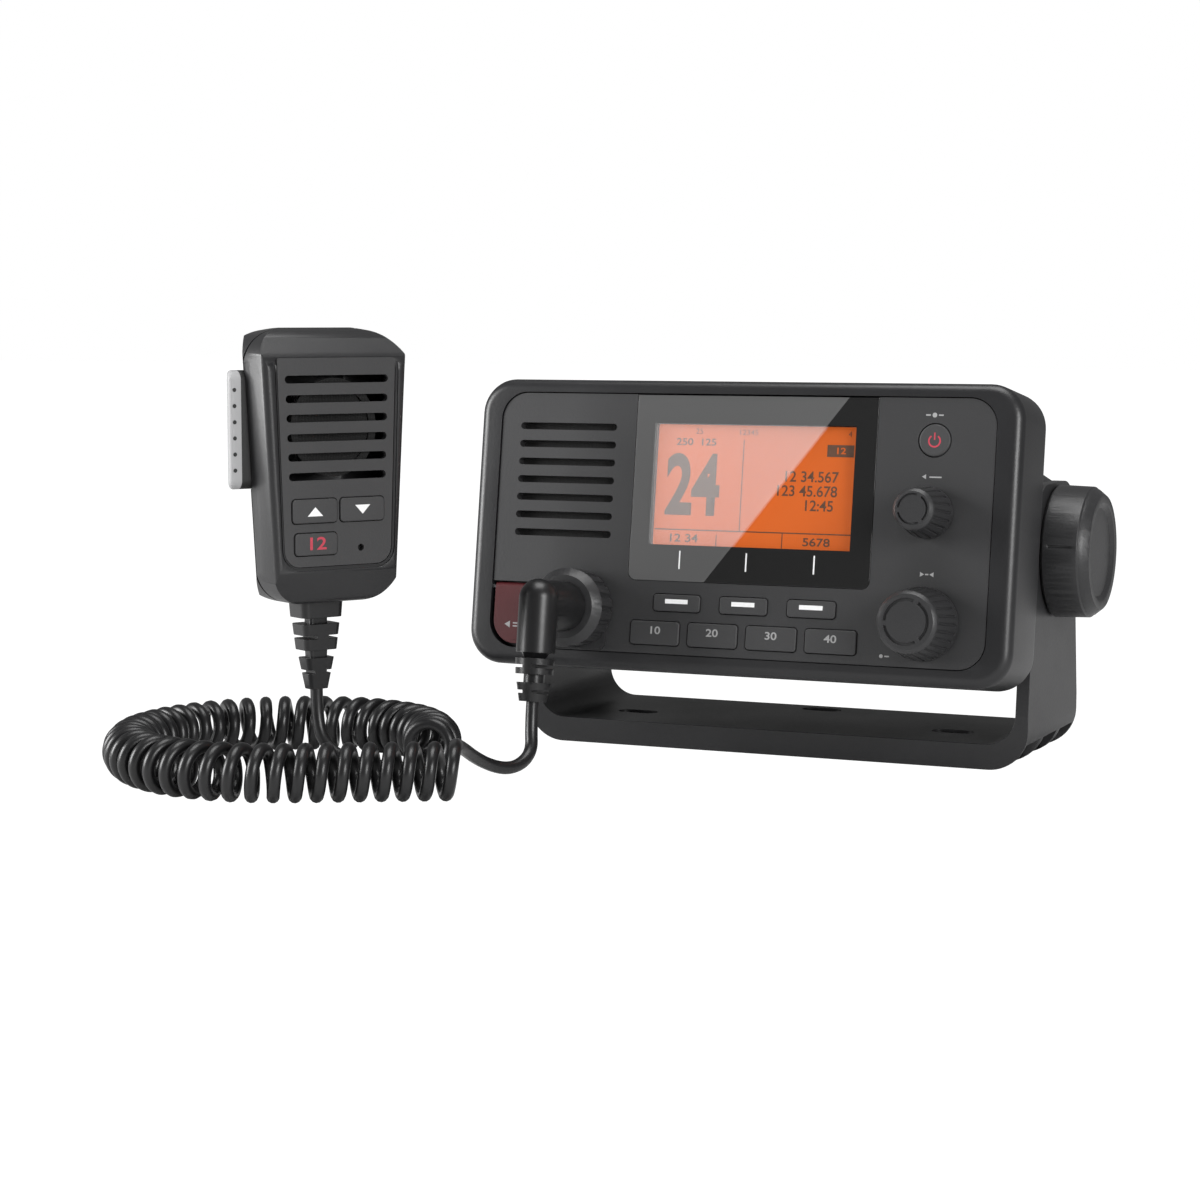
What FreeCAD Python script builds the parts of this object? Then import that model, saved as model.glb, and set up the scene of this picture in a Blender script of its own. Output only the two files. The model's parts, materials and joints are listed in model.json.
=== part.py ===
import FreeCAD, Part
import math
import os
from FreeCAD import Placement, Rotation, Vector

# Marine radio on its tilting bracket, with a corded handset. Millimetres, +Z up, +X to the
# viewer's right, the front faces -Y. The origin is the middle of the bracket's underside.

# Front frame: the widths and heights of the radio and its bracket follow from it
BEZEL_W = 170.0
BEZEL_H = 86.6

# Bracket
BRACKET_INSET = 4.0
BRACKET_W = BEZEL_W - 2 * BRACKET_INSET
BRACKET_D = 56.0
ARM_T = 3.9
BASE_T = 7.6
BASE_CORNER_R = 12.0
BASE_INNER_R = 9.0
UNDER_GAP = 12.1
PIVOT_Z = BASE_T + UNDER_GAP + BEZEL_H / 2
ARM_TOP_Z = PIVOT_Z + 20.5
ARM_TOP_HALF = 20.0
ARM_TOP_R = 12.0
ARM_KNEE_R = 8.0
BASE_WALL = 2.4
BASE_RIB_T = 2.0
RIB_COUNT = 6
RIB_PITCH = 24.0
LONG_RIB_Y = 9.5
BOLT_INSET = 29.0
BOLT_Y = -7.4
SLOT_L = 13.0
SLOT_W = 6.0
REAR_SLOT_Y = 20.5
SLOT_PAD = 3.0
WINDOW_W = 15.0
WINDOW_PITCH = 19.0
WINDOW_Z = 1.6

# Radio, in its own frame: origin on the tilt axis, y to the back, z up
TILT_REST = 8.3
FACE_Y = -57.8
FACE_SETBACK = 0.4
BEZEL_R = 10.5
BEZEL_BACK = -30.0
BEZEL_WALL = 3.2
BEZEL_FRONT_ROUND = 3.2
BEZEL_REAR_ROUND = 4.0
RIM_SIDE = 7.65
RIM_TOP = 4.4
RIM_BOTTOM = 5.3
PLATE_R = 8.0
PLATE_T = 3.2
PLATE_GAP = 0.3
LEDGE_W = 3.2
LEDGE_T = 1.6
GLUE_GAP = 0.1
PLATE_W = BEZEL_W - 2 * RIM_SIDE
PLATE_HALF = PLATE_W / 2
PLATE_TOP = BEZEL_H / 2 - RIM_TOP
PLATE_BOTTOM = RIM_BOTTOM - BEZEL_H / 2
FACE_IN = FACE_Y + FACE_SETBACK
PLATE_BACK = FACE_IN + PLATE_T

# The face in three columns: slots and socket, window and keys, dials
LEFT_COLUMN = 44.25
RIGHT_COLUMN = 34.95
SOFT_KEY_COUNT = 3
SOFT_KEY_H = 5.0
SOFT_KEY_Z = PLATE_BOTTOM + 15.2
SOFT_KEY_SPACE = 6.2
MAIN_KEY_COUNT = 4
MAIN_KEY_H = 7.0
MAIN_KEY_Z = PLATE_BOTTOM + 6.1
MAIN_KEY_SPACE = 2.7
KEY_R = 1.0
KEY_GAP = 0.25
KEY_PROUD = 0.5
KEY_FLANGE = 0.8
KEY_FLANGE_T = 1.0
KEY_TRAVEL = 0.8

LENS_X0 = LEFT_COLUMN - PLATE_HALF
LENS_X1 = PLATE_HALF - RIGHT_COLUMN
LENS_BOTTOM = SOFT_KEY_Z + SOFT_KEY_H / 2 + 3.8
LENS_T = 1.6
LENS_R = 2.5
LENS_GAP = 0.15
LCD_X0 = LENS_X0 + 3.5
LCD_X1 = LENS_X1 - 4.0
LCD_Z0 = LENS_BOTTOM + 8.3
LCD_Z1 = PLATE_TOP - 5.9
LCD_T = 3.0
LCD_MARGIN = 2.6

SOFT_ROW_X0 = LENS_X0 + 8.9
SOFT_ROW_X1 = LENS_X1 - 9.8
SOFT_KEY_PITCH = (SOFT_ROW_X1 - SOFT_ROW_X0 + SOFT_KEY_SPACE) / SOFT_KEY_COUNT
SOFT_KEY_W = SOFT_KEY_PITCH - SOFT_KEY_SPACE
MAIN_ROW_X0 = LENS_X0 + 2.0
MAIN_ROW_X1 = LENS_X1 - 3.0
MAIN_KEY_PITCH = (MAIN_ROW_X1 - MAIN_ROW_X0 + MAIN_KEY_SPACE) / MAIN_KEY_COUNT
MAIN_KEY_W = MAIN_KEY_PITCH - MAIN_KEY_SPACE

GRILLE_X0 = 6.15 - PLATE_HALF
GRILLE_X1 = LENS_X0 - 6.3
GRILLE_TOP = PLATE_TOP - 10.0
GRILLE_PITCH = 5.36
GRILLE_COUNT = 7
GRILLE_SLOT_H = 2.1
SPEAKER_OVER = 2.8
SPEAKER_R = (GRILLE_X1 - GRILLE_X0) / 2 + SPEAKER_OVER
SPEAKER_DEPTH = 14.0
CLOTH_T = 0.4

POWER_X = PLATE_HALF - 17.95
POWER_Z = PLATE_TOP - 12.1
POWER_R = 4.7
MAT_T = 1.2
BOARD_T = 1.6
BOARD_GAP = 0.6
KEY_FLANGE_Y = PLATE_BACK + GLUE_GAP
MAT_Y = KEY_FLANGE_Y + KEY_FLANGE_T + KEY_TRAVEL + GLUE_GAP
BOARD_Y = max(MAT_Y + MAT_T, PLATE_BACK + GLUE_GAP + LCD_T) + GLUE_GAP

DIAL_GAP = 0.5
VOLUME_X = PLATE_HALF - 18.55
VOLUME_Z = PLATE_TOP - 32.9
VOLUME_BASE_R = 7.4
VOLUME_TIP_R = 5.9
VOLUME_L = 14.5
SELECT_X = PLATE_HALF - 18.15
SELECT_Z = PLATE_BOTTOM + 12.4
SELECT_BASE_R = 10.5
SELECT_TIP_R = 8.8
SELECT_L = 16.0
DIAL_PRESS = 0.6
DIAL_FLUTE_R = 0.45
DIAL_LIP = 0.9
SHAFT_R = 3.0
BUSH_WALL = 1.2
BUSH_PROUD = 1.0
RUN_FIT = 0.05
ENCODER_W = 12.0

DOOR_W = 14.3
DOOR_H = 17.1
DOOR_X0 = 0.85 - PLATE_HALF
DOOR_X1 = DOOR_X0 + DOOR_W
DOOR_Z0 = PLATE_BOTTOM + 0.9
DOOR_HINGE_Z = DOOR_Z0 + DOOR_H
DOOR_T = 1.5
DOOR_GAP = 0.4
DOOR_R = 7.2
DOOR_BARREL_R = 1.3
DOOR_PIN_R = 0.7
DOOR_PIN_SEAT = 2.5
DOOR_PIN_Y = FACE_IN + DOOR_BARREL_R
DISTRESS_KEY_W = 9.0
DISTRESS_KEY_H = 9.5
DISTRESS_FLOOR_T = 1.2
DISTRESS_FLOOR_OVER = 3.2
DISTRESS_X = (DOOR_X0 + DOOR_X1) / 2
DISTRESS_Z = (DOOR_Z0 + DOOR_HINGE_Z) / 2 - 0.5

SOCKET_X = 29.05 - PLATE_HALF
SOCKET_Z = PLATE_BOTTOM + 12.3
SOCKET_R = 8.6
SOCKET_PROUD = 6.0
SOCKET_WALL = 2.4
SOCKET_FLANGE = 1.8
RING_R = 11.6
RING_L = 10.5
RING_GAP = 1.3
RING_NOTCH_R = 0.9
RING_NOTCHES = 18
PLUG_R = 7.3
ELBOW_R = 5.7
ELBOW_OUT = 28.2
ELBOW_DROP = 14.2
ELBOW_THROAT = 9.0
PLUG_NOSE_L = 7.0
PLUG_BOOT_TOP = SOCKET_Z - ELBOW_DROP
PLUG_BOOT_L = 14.2

# Rear housing
HOUSING_CLEAR = 6.6
SHOULDER_TOP = 11.9
SHOULDER_BOTTOM = 13.3
ARM_IN = BRACKET_W / 2 - ARM_T
HOUSING_HALF = ARM_IN - HOUSING_CLEAR
HOUSING_TOP = BEZEL_H / 2 - SHOULDER_TOP
HOUSING_BOTTOM = SHOULDER_BOTTOM - BEZEL_H / 2
HOUSING_REAR = 62.0
HOUSING_DRAFT = 4.0
HOUSING_R = 6.0
HOUSING_WALL = 3.0
FLANGE_T = 3.5
GASKET_T = 1.2
GASKET_W = 2.2
FIN_H = 3.5
FIN_T = 1.8
FIN_PITCH = 6.5
FIN_COUNT = 8
REAR_FIN_PITCH = 7.0
BOSS_R = 15.0
WASHER_T = 0.8
WASHER_R = 14.0
PLAY = 0.1
INSERT_R = 6.0
INSERT_L = 9.0
STUD_R = 4.0
STUD_HOLE_R = 4.4
KNOB_R = 19.8
KNOB_L = 14.2
KNOB_RECESS_R = 14.6
KNOB_RECESS = 1.2
ANTENNA_X = 40.0
ANTENNA_R = 7.9
ANTENNA_BORE_R = 5.9
ANTENNA_L = 14.0
POWER_IN_X = -40.0
POWER_IN_R = 9.0
POWER_IN_L = 8.0
SCREW_R = 1.5
SCREW_HEAD_R = 2.8
SCREW_HEAD_H = 1.6
SCREW_L = 12.0
SCREW_IN = 3.2
SCREW_DROP = 17.3
SCREW_X = BEZEL_W / 2 - BEZEL_WALL - SCREW_IN
SCREW_Z = BEZEL_H / 2 - SCREW_DROP
SCREW_POST_WALL = 2.0
MAIN_BOARD_UP = 16.0
MAIN_BOARD_Z = HOUSING_BOTTOM + MAIN_BOARD_UP

# Handset, in its own frame: origin on its face at the top slot, y into it, z up
HANDSET_TURN = 60.4
HANDSET_X = -95.2
HANDSET_Y = -122.5
HANDSET_Z = 115.2
HS_HALF_W = 24.9
HS_TAPER = 3.2
HS_TOP = 14.8
HS_BOTTOM = -64.0
HS_THICK = 22.0
HS_FACE_SET = 1.0
HS_SIDE_Y = 7.0
HS_BACK_SET = 7.5
HS_TOP_R = 11.0
HS_LOW_R = 11.5
HS_WALL = 2.0
HS_SPLIT_Y = 10.5
HS_SEAL_T = 0.8
HS_SEAL_SET = 0.5
PANEL_HALF_TOP = 19.4
PANEL_HALF_LOW = 17.4
PANEL_TOP = 6.0
PANEL_LOW = -53.0
PANEL_R = 5.0
PANEL_T = 1.2
PANEL_GAP = 0.2
HS_SLOT_HALF = 16.9
HS_SLOT_TAPER = 0.2
HS_SLOT_PITCH = 5.48
HS_SLOT_COUNT = 6
HS_SLOT_H = 2.2
HS_SPEAKER_R = 14.0
HS_SPEAKER_T = 4.5
CHANNEL_KEY_W = 14.6
CHANNEL_KEY_H = 6.8
CHANNEL_KEY_X = 7.8
CHANNEL_KEY_Z = -37.2
RECALL_KEY_W = 13.8
RECALL_KEY_H = 6.3
RECALL_KEY_X = -7.5
RECALL_KEY_Z = -46.6
MIC_X = 7.4
MIC_Z = -48.2
MIC_R = 1.0
MIC_CAPSULE_R = 2.6
PTT_TOP = 2.5
PTT_LOW = -31.0
PTT_FRONT = 10.0
PTT_W = 9.0
PTT_OUT = 29.5
PTT_SLANT = 4.5
PTT_IN = -18.5
PTT_ROUND = 1.2
PTT_TRAVEL = 1.5
PTT_GAP = 0.3
PTT_CLEAR = 6.0
HANG_R = 6.0
HANG_NECK_R = 3.4
HANG_L = 6.0
HANG_Z = -6.0
BOOT_Y = 13.4
BOOT_W = 14.0
BOOT_D = 10.2
BOOT_L = 25.3
BOOT_SINK = 0.5
HS_SCREW_PLACES = ((-12.0, -56.0, 18.2), (12.0, -56.0, 18.2), (-13.0, 5.5, 20.4), (13.0, 5.5, 20.4))
HS_SCREW_R = 1.1

# Cord
WIRE_R = 1.85
CURL_R = 6.5
CURL_TURNS = 45
CURL_STRAIGHT = 2 * WIRE_R
COIL_X = -49.8
COIL_Y = -138.6
COIL_HEADING = 208.5
COIL_STRETCHES = ((45.5, 0.0), (154.0, -187.0), (60.0, -88.0), (9.0, -14.0))


def box(x0, x1, y0, y1, z0, z1):
    return Part.makeBox(x1 - x0, y1 - y0, z1 - z0, Vector(x0, y0, z0))


def rod(start, axis, r, length):
    return Part.makeCylinder(r, length, Vector(*start), Vector(*axis))


def cone(start, axis, r0, r1, length):
    return Part.makeCone(r0, r1, length, Vector(*start), Vector(*axis))


def joined(shapes):
    out = shapes[0].fuse(shapes[1:]) if len(shapes) > 1 else shapes[0]
    return out.removeSplitter()


def rounded_outline(points, radii):
    """A closed wire in the XZ plane through points, each corner rounded by its radius."""
    count = len(points)
    edges = []
    arcs = []
    for i, (x, z) in enumerate(points):
        before = Vector(points[i - 1][0], 0, points[i - 1][1])
        here = Vector(x, 0, z)
        after = Vector(points[(i + 1) % count][0], 0, points[(i + 1) % count][1])
        to_before = (before - here).normalize()
        to_after = (after - here).normalize()
        half = to_before.getAngle(to_after) / 2
        cut = radii[i] / math.tan(half)
        middle = (to_before + to_after).normalize()
        centre = here + middle * (radii[i] / math.sin(half))
        arcs.append((here + to_before * cut, centre - middle * radii[i], here + to_after * cut, radii[i]))
    for i, (start, mid, end, r) in enumerate(arcs):
        if r > 0:
            edges.append(Part.Arc(start, mid, end).toShape())
        following = arcs[(i + 1) % count][0]
        if (following - end).Length > 1e-6:
            edges.append(Part.makeLine(end, following))
    return Part.Wire(edges)


def slab(points, radii, y0, y1):
    """The rounded outline in XZ, solid from y0 to y1."""
    face = Part.Face(rounded_outline(points, radii))
    face.translate(Vector(0, y0, 0))
    return face.extrude(Vector(0, y1 - y0, 0))


def plate(x0, x1, z0, z1, r, y0, y1):
    corners = [(x0, z0), (x1, z0), (x1, z1), (x0, z1)]
    return slab(corners, [r] * 4, y0, y1)


def pad(x, z, w, h, grow, r, y0, y1):
    """A plate centred on x, z and wider by grow on every side."""
    return plate(x - w / 2 - grow, x + w / 2 + grow, z - h / 2 - grow, z + h / 2 + grow, r, y0, y1)


def slot_bar(x0, x1, z, h, y0, y1):
    return plate(x0, x1, z - h / 2, z + h / 2, h / 2 - 0.01, y0, y1)


def turned(points, base, axis):
    """A solid of revolution: points are (distance along axis, radius)."""
    corners = [Vector(r, 0, a) for a, r in points]
    wire = Part.makePolygon(corners + corners[:1])
    solid = Part.Face(wire).revolve(Vector(0, 0, 0), Vector(0, 0, 1), 360)
    solid.Placement = Placement(Vector(*base), Rotation(Vector(0, 0, 1), Vector(*axis)))
    return solid


def radio_seat():
    return Placement(Vector(0, 0, PIVOT_Z), Rotation(Vector(1, 0, 0), -TILT_REST))


def handset_seat():
    return Placement(Vector(HANDSET_X, HANDSET_Y, HANDSET_Z), Rotation(Vector(0, 0, 1), HANDSET_TURN))


def seated(shape, seat):
    out = shape.copy()
    out.Placement = seat.multiply(out.Placement)
    return out


def save(name, shape):
    shape.exportStep("parts/" + name + ".step")


# Bracket: a moulded yoke, hollow and ribbed underneath
def bracket():
    half = BRACKET_W / 2
    depth = BRACKET_D / 2
    top = ARM_TOP_Z + 1
    outer = [(-half, 0), (half, 0), (half, top), (-half, top)]
    inner = [(-ARM_IN, BASE_T), (ARM_IN, BASE_T), (ARM_IN, top + 1), (-ARM_IN, top + 1)]
    body = slab(outer, [BASE_CORNER_R, BASE_CORNER_R, 0, 0], -depth, depth)
    body = body.cut(slab(inner, [BASE_INNER_R, BASE_INNER_R, 0, 0], -depth - 1, depth + 1))
    knee = BASE_T + BASE_INNER_R
    side = slab([(-depth, 0), (depth, 0), (depth, knee), (ARM_TOP_HALF, ARM_TOP_Z),
                 (-ARM_TOP_HALF, ARM_TOP_Z), (-depth, knee)],
                [0, 0, ARM_KNEE_R, ARM_TOP_R, ARM_TOP_R, ARM_KNEE_R], -half - 1, half + 1)
    side.rotate(Vector(0, 0, 0), Vector(0, 0, 1), 90)
    body = body.common(side)
    pocket_half = half - BASE_CORNER_R * 0.5
    pocket = box(-pocket_half, pocket_half, -depth + BASE_WALL, depth - BASE_WALL, -1, BASE_T - BASE_WALL)
    ribs = []
    for i in range(RIB_COUNT):
        x = (i - (RIB_COUNT - 1) / 2) * RIB_PITCH
        ribs.append(box(x - BASE_RIB_T / 2, x + BASE_RIB_T / 2, -depth, depth, 0, BASE_T))
    for y in (-LONG_RIB_Y, LONG_RIB_Y):
        ribs.append(box(-half, half, y - BASE_RIB_T / 2, y + BASE_RIB_T / 2, 0, BASE_T))
    holes = []
    bolt_x = half - BOLT_INSET
    for x, y in ((-bolt_x, BOLT_Y), (bolt_x, BOLT_Y), (0, REAR_SLOT_Y)):
        ribs.append(upright_slot(x, y, SLOT_L + 2 * SLOT_PAD, SLOT_W + 2 * SLOT_PAD, 0, BASE_T))
        holes.append(upright_slot(x, y, SLOT_L, SLOT_W, -1, BASE_T + 1))
    body = body.cut(pocket.cut(joined(ribs)))
    windows = []
    for side_x in (-1, 1):
        for y in (-WINDOW_PITCH, 0, WINDOW_PITCH):
            window = box(0, BASE_CORNER_R, y - WINDOW_W / 2, y + WINDOW_W / 2, WINDOW_Z, BASE_T)
            window.translate(Vector(side_x * (half - BASE_CORNER_R / 2) - BASE_CORNER_R / 2, 0, 0))
            windows.append(window)
    bores = [rod((-half - 1, 0, PIVOT_Z), (1, 0, 0), STUD_HOLE_R, BRACKET_W + 2)]
    return body.cut(windows + holes + bores)


def upright_slot(x, y, length, width, z0, z1):
    shape = slot_bar(-length / 2, length / 2, 0, width, 0, z1 - z0)
    shape.rotate(Vector(0, 0, 0), Vector(1, 0, 0), 90)
    shape.translate(Vector(x, y, z0))
    return shape


# Front frame of the radio
def front_bezel():
    half_w = BEZEL_W / 2
    half_h = BEZEL_H / 2
    shell = plate(-half_w, half_w, -half_h, half_h, BEZEL_R, FACE_Y, BEZEL_BACK)
    front = [e for e in shell.Edges if all(abs(v.Y - FACE_Y) < 1e-4 for v in e.Vertexes)]
    shell = shell.makeFillet(BEZEL_FRONT_ROUND, front)
    rear = [e for e in shell.Edges if all(abs(v.Y - BEZEL_BACK) < 1e-4 for v in e.Vertexes)]
    shell = shell.makeFillet(BEZEL_REAR_ROUND, rear)
    seat_half = PLATE_HALF + PLATE_GAP
    seat = plate(-seat_half, seat_half, PLATE_BOTTOM - PLATE_GAP, PLATE_TOP + PLATE_GAP, PLATE_R + PLATE_GAP,
                 FACE_Y - 1, PLATE_BACK)
    through = plate(-PLATE_HALF + LEDGE_W, PLATE_HALF - LEDGE_W, PLATE_BOTTOM + LEDGE_W / 2,
                    PLATE_TOP - LEDGE_W / 2, PLATE_R - LEDGE_W / 2, PLATE_BACK - 1, BEZEL_BACK + 1)
    inner = plate(-half_w + BEZEL_WALL, half_w - BEZEL_WALL, -half_h + BEZEL_WALL, half_h - BEZEL_WALL,
                  BEZEL_R - BEZEL_WALL, PLATE_BACK + LEDGE_T, BEZEL_BACK + 1)
    corner = box(-seat_half, DOOR_X1 + 4 + PLATE_GAP, PLATE_BACK - 1, PLATE_BACK + LEDGE_T,
                 PLATE_BOTTOM - PLATE_GAP, DOOR_HINGE_Z + 5)
    pin = rod((DOOR_X0 - DOOR_PIN_SEAT - 1, DOOR_PIN_Y, DOOR_HINGE_Z), (1, 0, 0), DOOR_PIN_R + 0.02, 6)
    shell = shell.cut([seat, through, inner, corner, pin])
    post_y = PLATE_BACK + LEDGE_T
    post_l = BEZEL_BACK - FLANGE_T - GASKET_T - post_y
    threads = []
    for x, z in screw_places():
        shell = shell.fuse(rod((x, post_y, z), (0, 1, 0), SCREW_R + SCREW_POST_WALL, post_l))
        threads.append(rod((x, BEZEL_BACK - SCREW_L - 1, z), (0, 1, 0), SCREW_R, SCREW_L + 2))
    return shell.cut(threads)


def screw_places():
    return [(side * SCREW_X, level * SCREW_Z) for side in (-1, 1) for level in (-1, 1)]


def post_places():
    right = PLATE_HALF - LEDGE_W - 4.5
    top = PLATE_TOP - LEDGE_W / 2 - 2.2
    bottom = PLATE_BOTTOM + LEDGE_W / 2 + 2.2
    return ((LENS_X0 + 1.6, top), (right, top), (right, bottom), (LENS_X0 + 1.6, LENS_BOTTOM + 3.2))


# Flat front plate with its slots, key wells and display window
def faceplate():
    half = PLATE_HALF
    body = plate(-half, half, PLATE_BOTTOM, PLATE_TOP, PLATE_R, FACE_IN, PLATE_BACK)
    cuts = [box(-half - 1, DOOR_X1 + DOOR_GAP, FACE_IN - 1, PLATE_BACK + 1, PLATE_BOTTOM - 1,
                DOOR_HINGE_Z + DOOR_BARREL_R + DOOR_GAP)]
    for i in range(GRILLE_COUNT):
        z = GRILLE_TOP - i * GRILLE_PITCH
        cuts.append(slot_bar(GRILLE_X0, GRILLE_X1, z, GRILLE_SLOT_H, FACE_IN - 1, PLATE_BACK + 1))
    above = PLATE_TOP + 2
    lens_corners = [(LENS_X0, LENS_BOTTOM), (LENS_X1, LENS_BOTTOM), (LENS_X1, above), (LENS_X0, above)]
    cuts.append(slab(lens_corners, [LENS_R, LENS_R, 0, 0], FACE_IN - 1, FACE_IN + LENS_T))
    cuts.append(plate(LCD_X0 + LCD_MARGIN, LCD_X1 - LCD_MARGIN, LCD_Z0 + LCD_MARGIN, LCD_Z1 - LCD_MARGIN, 0.5,
                      FACE_IN, PLATE_BACK + 1))
    for x, z, w, h in key_places():
        cuts.append(pad(x, z, w, h, KEY_GAP, KEY_R + KEY_GAP, FACE_IN - 1, PLATE_BACK + 1))
    cuts.append(rod((POWER_X, FACE_IN - 1, POWER_Z), (0, 1, 0), POWER_R + KEY_GAP, PLATE_T + 2))
    for x, z in ((VOLUME_X, VOLUME_Z), (SELECT_X, SELECT_Z)):
        cuts.append(rod((x, FACE_IN - 1, z), (0, 1, 0), SHAFT_R + BUSH_WALL + GLUE_GAP, PLATE_T + 2))
    cuts.append(rod((SOCKET_X, FACE_IN - 1, SOCKET_Z), (0, 1, 0), SOCKET_R + GLUE_GAP, PLATE_T + 2))
    body = body.cut(cuts)
    floor_x = DOOR_X1 + DISTRESS_FLOOR_OVER
    floor_top = DOOR_HINGE_Z + 4.6
    floor_corners = [(-half, PLATE_BOTTOM), (floor_x, PLATE_BOTTOM), (floor_x, floor_top), (-half, floor_top)]
    floor = slab(floor_corners, [PLATE_R, 0.5, 0.5, 0.5], PLATE_BACK, PLATE_BACK + DISTRESS_FLOOR_T)
    posts = [rod((x, PLATE_BACK, z), (0, 1, 0), 1.6, BOARD_Y - PLATE_BACK) for x, z in post_places()]
    body = joined([body, floor] + posts)
    key_hole = pad(DISTRESS_X, DISTRESS_Z, DISTRESS_KEY_W, DISTRESS_KEY_H, KEY_GAP, 1.0,
                   PLATE_BACK - 1, PLATE_BACK + DISTRESS_FLOOR_T + 1)
    pin_l = DOOR_PIN_SEAT + 1.2 + DOOR_GAP
    pin = rod((DOOR_X1 - 1, DOOR_PIN_Y, DOOR_HINGE_Z), (1, 0, 0), DOOR_PIN_R + 0.02, pin_l)
    return body.cut([key_hole, pin])


def key_row(x0, z, w, h, pitch, count):
    return [(x0 + w / 2 + i * pitch, z, w, h) for i in range(count)]


def key_places():
    soft = key_row(SOFT_ROW_X0, SOFT_KEY_Z, SOFT_KEY_W, SOFT_KEY_H, SOFT_KEY_PITCH, SOFT_KEY_COUNT)
    main = key_row(MAIN_ROW_X0, MAIN_KEY_Z, MAIN_KEY_W, MAIN_KEY_H, MAIN_KEY_PITCH, MAIN_KEY_COUNT)
    return soft + main


def key(x, z, w, h):
    cap = pad(x, z, w, h, 0, KEY_R, FACE_IN - KEY_PROUD, KEY_FLANGE_Y + KEY_FLANGE_T)
    rim = [e for e in cap.Edges if all(abs(v.Y - FACE_IN + KEY_PROUD) < 1e-4 for v in e.Vertexes)]
    cap = cap.makeFillet(min(KEY_PROUD, KEY_R) * 0.7, rim)
    flange = pad(x, z, w, h, KEY_FLANGE, KEY_R, KEY_FLANGE_Y, KEY_FLANGE_Y + KEY_FLANGE_T)
    return joined([cap, flange])


def power_key():
    front = FACE_IN - KEY_PROUD * 0.6
    back = KEY_FLANGE_Y + KEY_FLANGE_T
    profile = [(front, 0), (front, POWER_R - 0.4), (front + 0.4, POWER_R), (KEY_FLANGE_Y, POWER_R),
               (KEY_FLANGE_Y, POWER_R + KEY_FLANGE), (back, POWER_R + KEY_FLANGE), (back, 0)]
    return turned(profile, (POWER_X, 0, POWER_Z), (0, 1, 0))


def display_lens():
    top = PLATE_TOP - LENS_GAP
    corners = [(LENS_X0 + LENS_GAP, LENS_BOTTOM + LENS_GAP), (LENS_X1 - LENS_GAP, LENS_BOTTOM + LENS_GAP),
               (LENS_X1 - LENS_GAP, top), (LENS_X0 + LENS_GAP, top)]
    return slab(corners, [LENS_R - LENS_GAP, LENS_R - LENS_GAP, 0, 0], FACE_IN, FACE_IN + LENS_T - 0.02)


def lcd_module():
    y0 = PLATE_BACK + 0.02
    glass = plate(LCD_X0, LCD_X1, LCD_Z0, LCD_Z1, 0.5, y0, y0 + LCD_T * 0.4)
    light_box = plate(LCD_X0 + 1, LCD_X1 - 1, LCD_Z0 + 1, LCD_Z1 - 1, 0.5, y0 + LCD_T * 0.4, BOARD_Y)
    return joined([glass, light_box])


def keypad_mat():
    z1 = SOFT_KEY_Z + SOFT_KEY_H / 2 + KEY_FLANGE
    z0 = PLATE_BOTTOM + LEDGE_W / 2 + 0.3
    mat = plate(MAIN_ROW_X0 - KEY_FLANGE, MAIN_ROW_X1 + KEY_FLANGE, z0, z1, 1.0, MAT_Y, BOARD_Y)
    patch = pad(POWER_X, POWER_Z, 2 * POWER_R, 2 * POWER_R, KEY_FLANGE, 1.0, MAT_Y, BOARD_Y)
    return Part.makeCompound([mat, patch])


def front_board():
    right = PLATE_HALF - LEDGE_W - BOARD_GAP
    z0 = PLATE_BOTTOM + (LEDGE_W + BOARD_GAP) / 2
    z1 = PLATE_TOP - (LEDGE_W + BOARD_GAP) / 2
    board = plate(LENS_X0 - BOARD_GAP, right, z0, z1, 1.0, BOARD_Y, BOARD_Y + BOARD_T)
    holes = []
    for x, z in ((VOLUME_X, VOLUME_Z), (SELECT_X, SELECT_Z)):
        holes.append(rod((x, BOARD_Y - 1, z), (0, 1, 0), SHAFT_R + RUN_FIT, BOARD_T + 2))
    chips = [box(0, 14, BOARD_Y + BOARD_T, BOARD_Y + BOARD_T + 1.4, 4, 18),
             box(-22, -12, BOARD_Y + BOARD_T, BOARD_Y + BOARD_T + 1.2, -20, -10)]
    return joined([board.cut(holes)] + chips)


# Loudspeaker behind the slots
def speaker():
    z = GRILLE_TOP - (GRILLE_COUNT - 1) * GRILLE_PITCH / 2
    x = (GRILLE_X0 + GRILLE_X1) / 2
    y0 = PLATE_BACK + CLOTH_T + GLUE_GAP
    d = SPEAKER_DEPTH
    r = SPEAKER_R
    profile = [(y0, r), (y0 + 2, r), (y0 + d * 0.55, r * 0.6), (y0 + d * 0.55, r * 0.55),
               (y0 + d, r * 0.55), (y0 + d, 0), (y0 + d * 0.45, 0), (y0 + d * 0.45, r * 0.3),
               (y0 + 1, r * 0.86), (y0, r * 0.86)]
    return turned(profile, (x, 0, z), (0, 1, 0))


def speaker_cloth():
    z0 = GRILLE_TOP - (GRILLE_COUNT - 1) * GRILLE_PITCH - GRILLE_SLOT_H
    return plate(GRILLE_X0 - 1.5, GRILLE_X1 + 1.5, z0 - 1, GRILLE_TOP + GRILLE_SLOT_H + 1, 2.0, PLATE_BACK,
                 PLATE_BACK + CLOTH_T)


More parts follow.
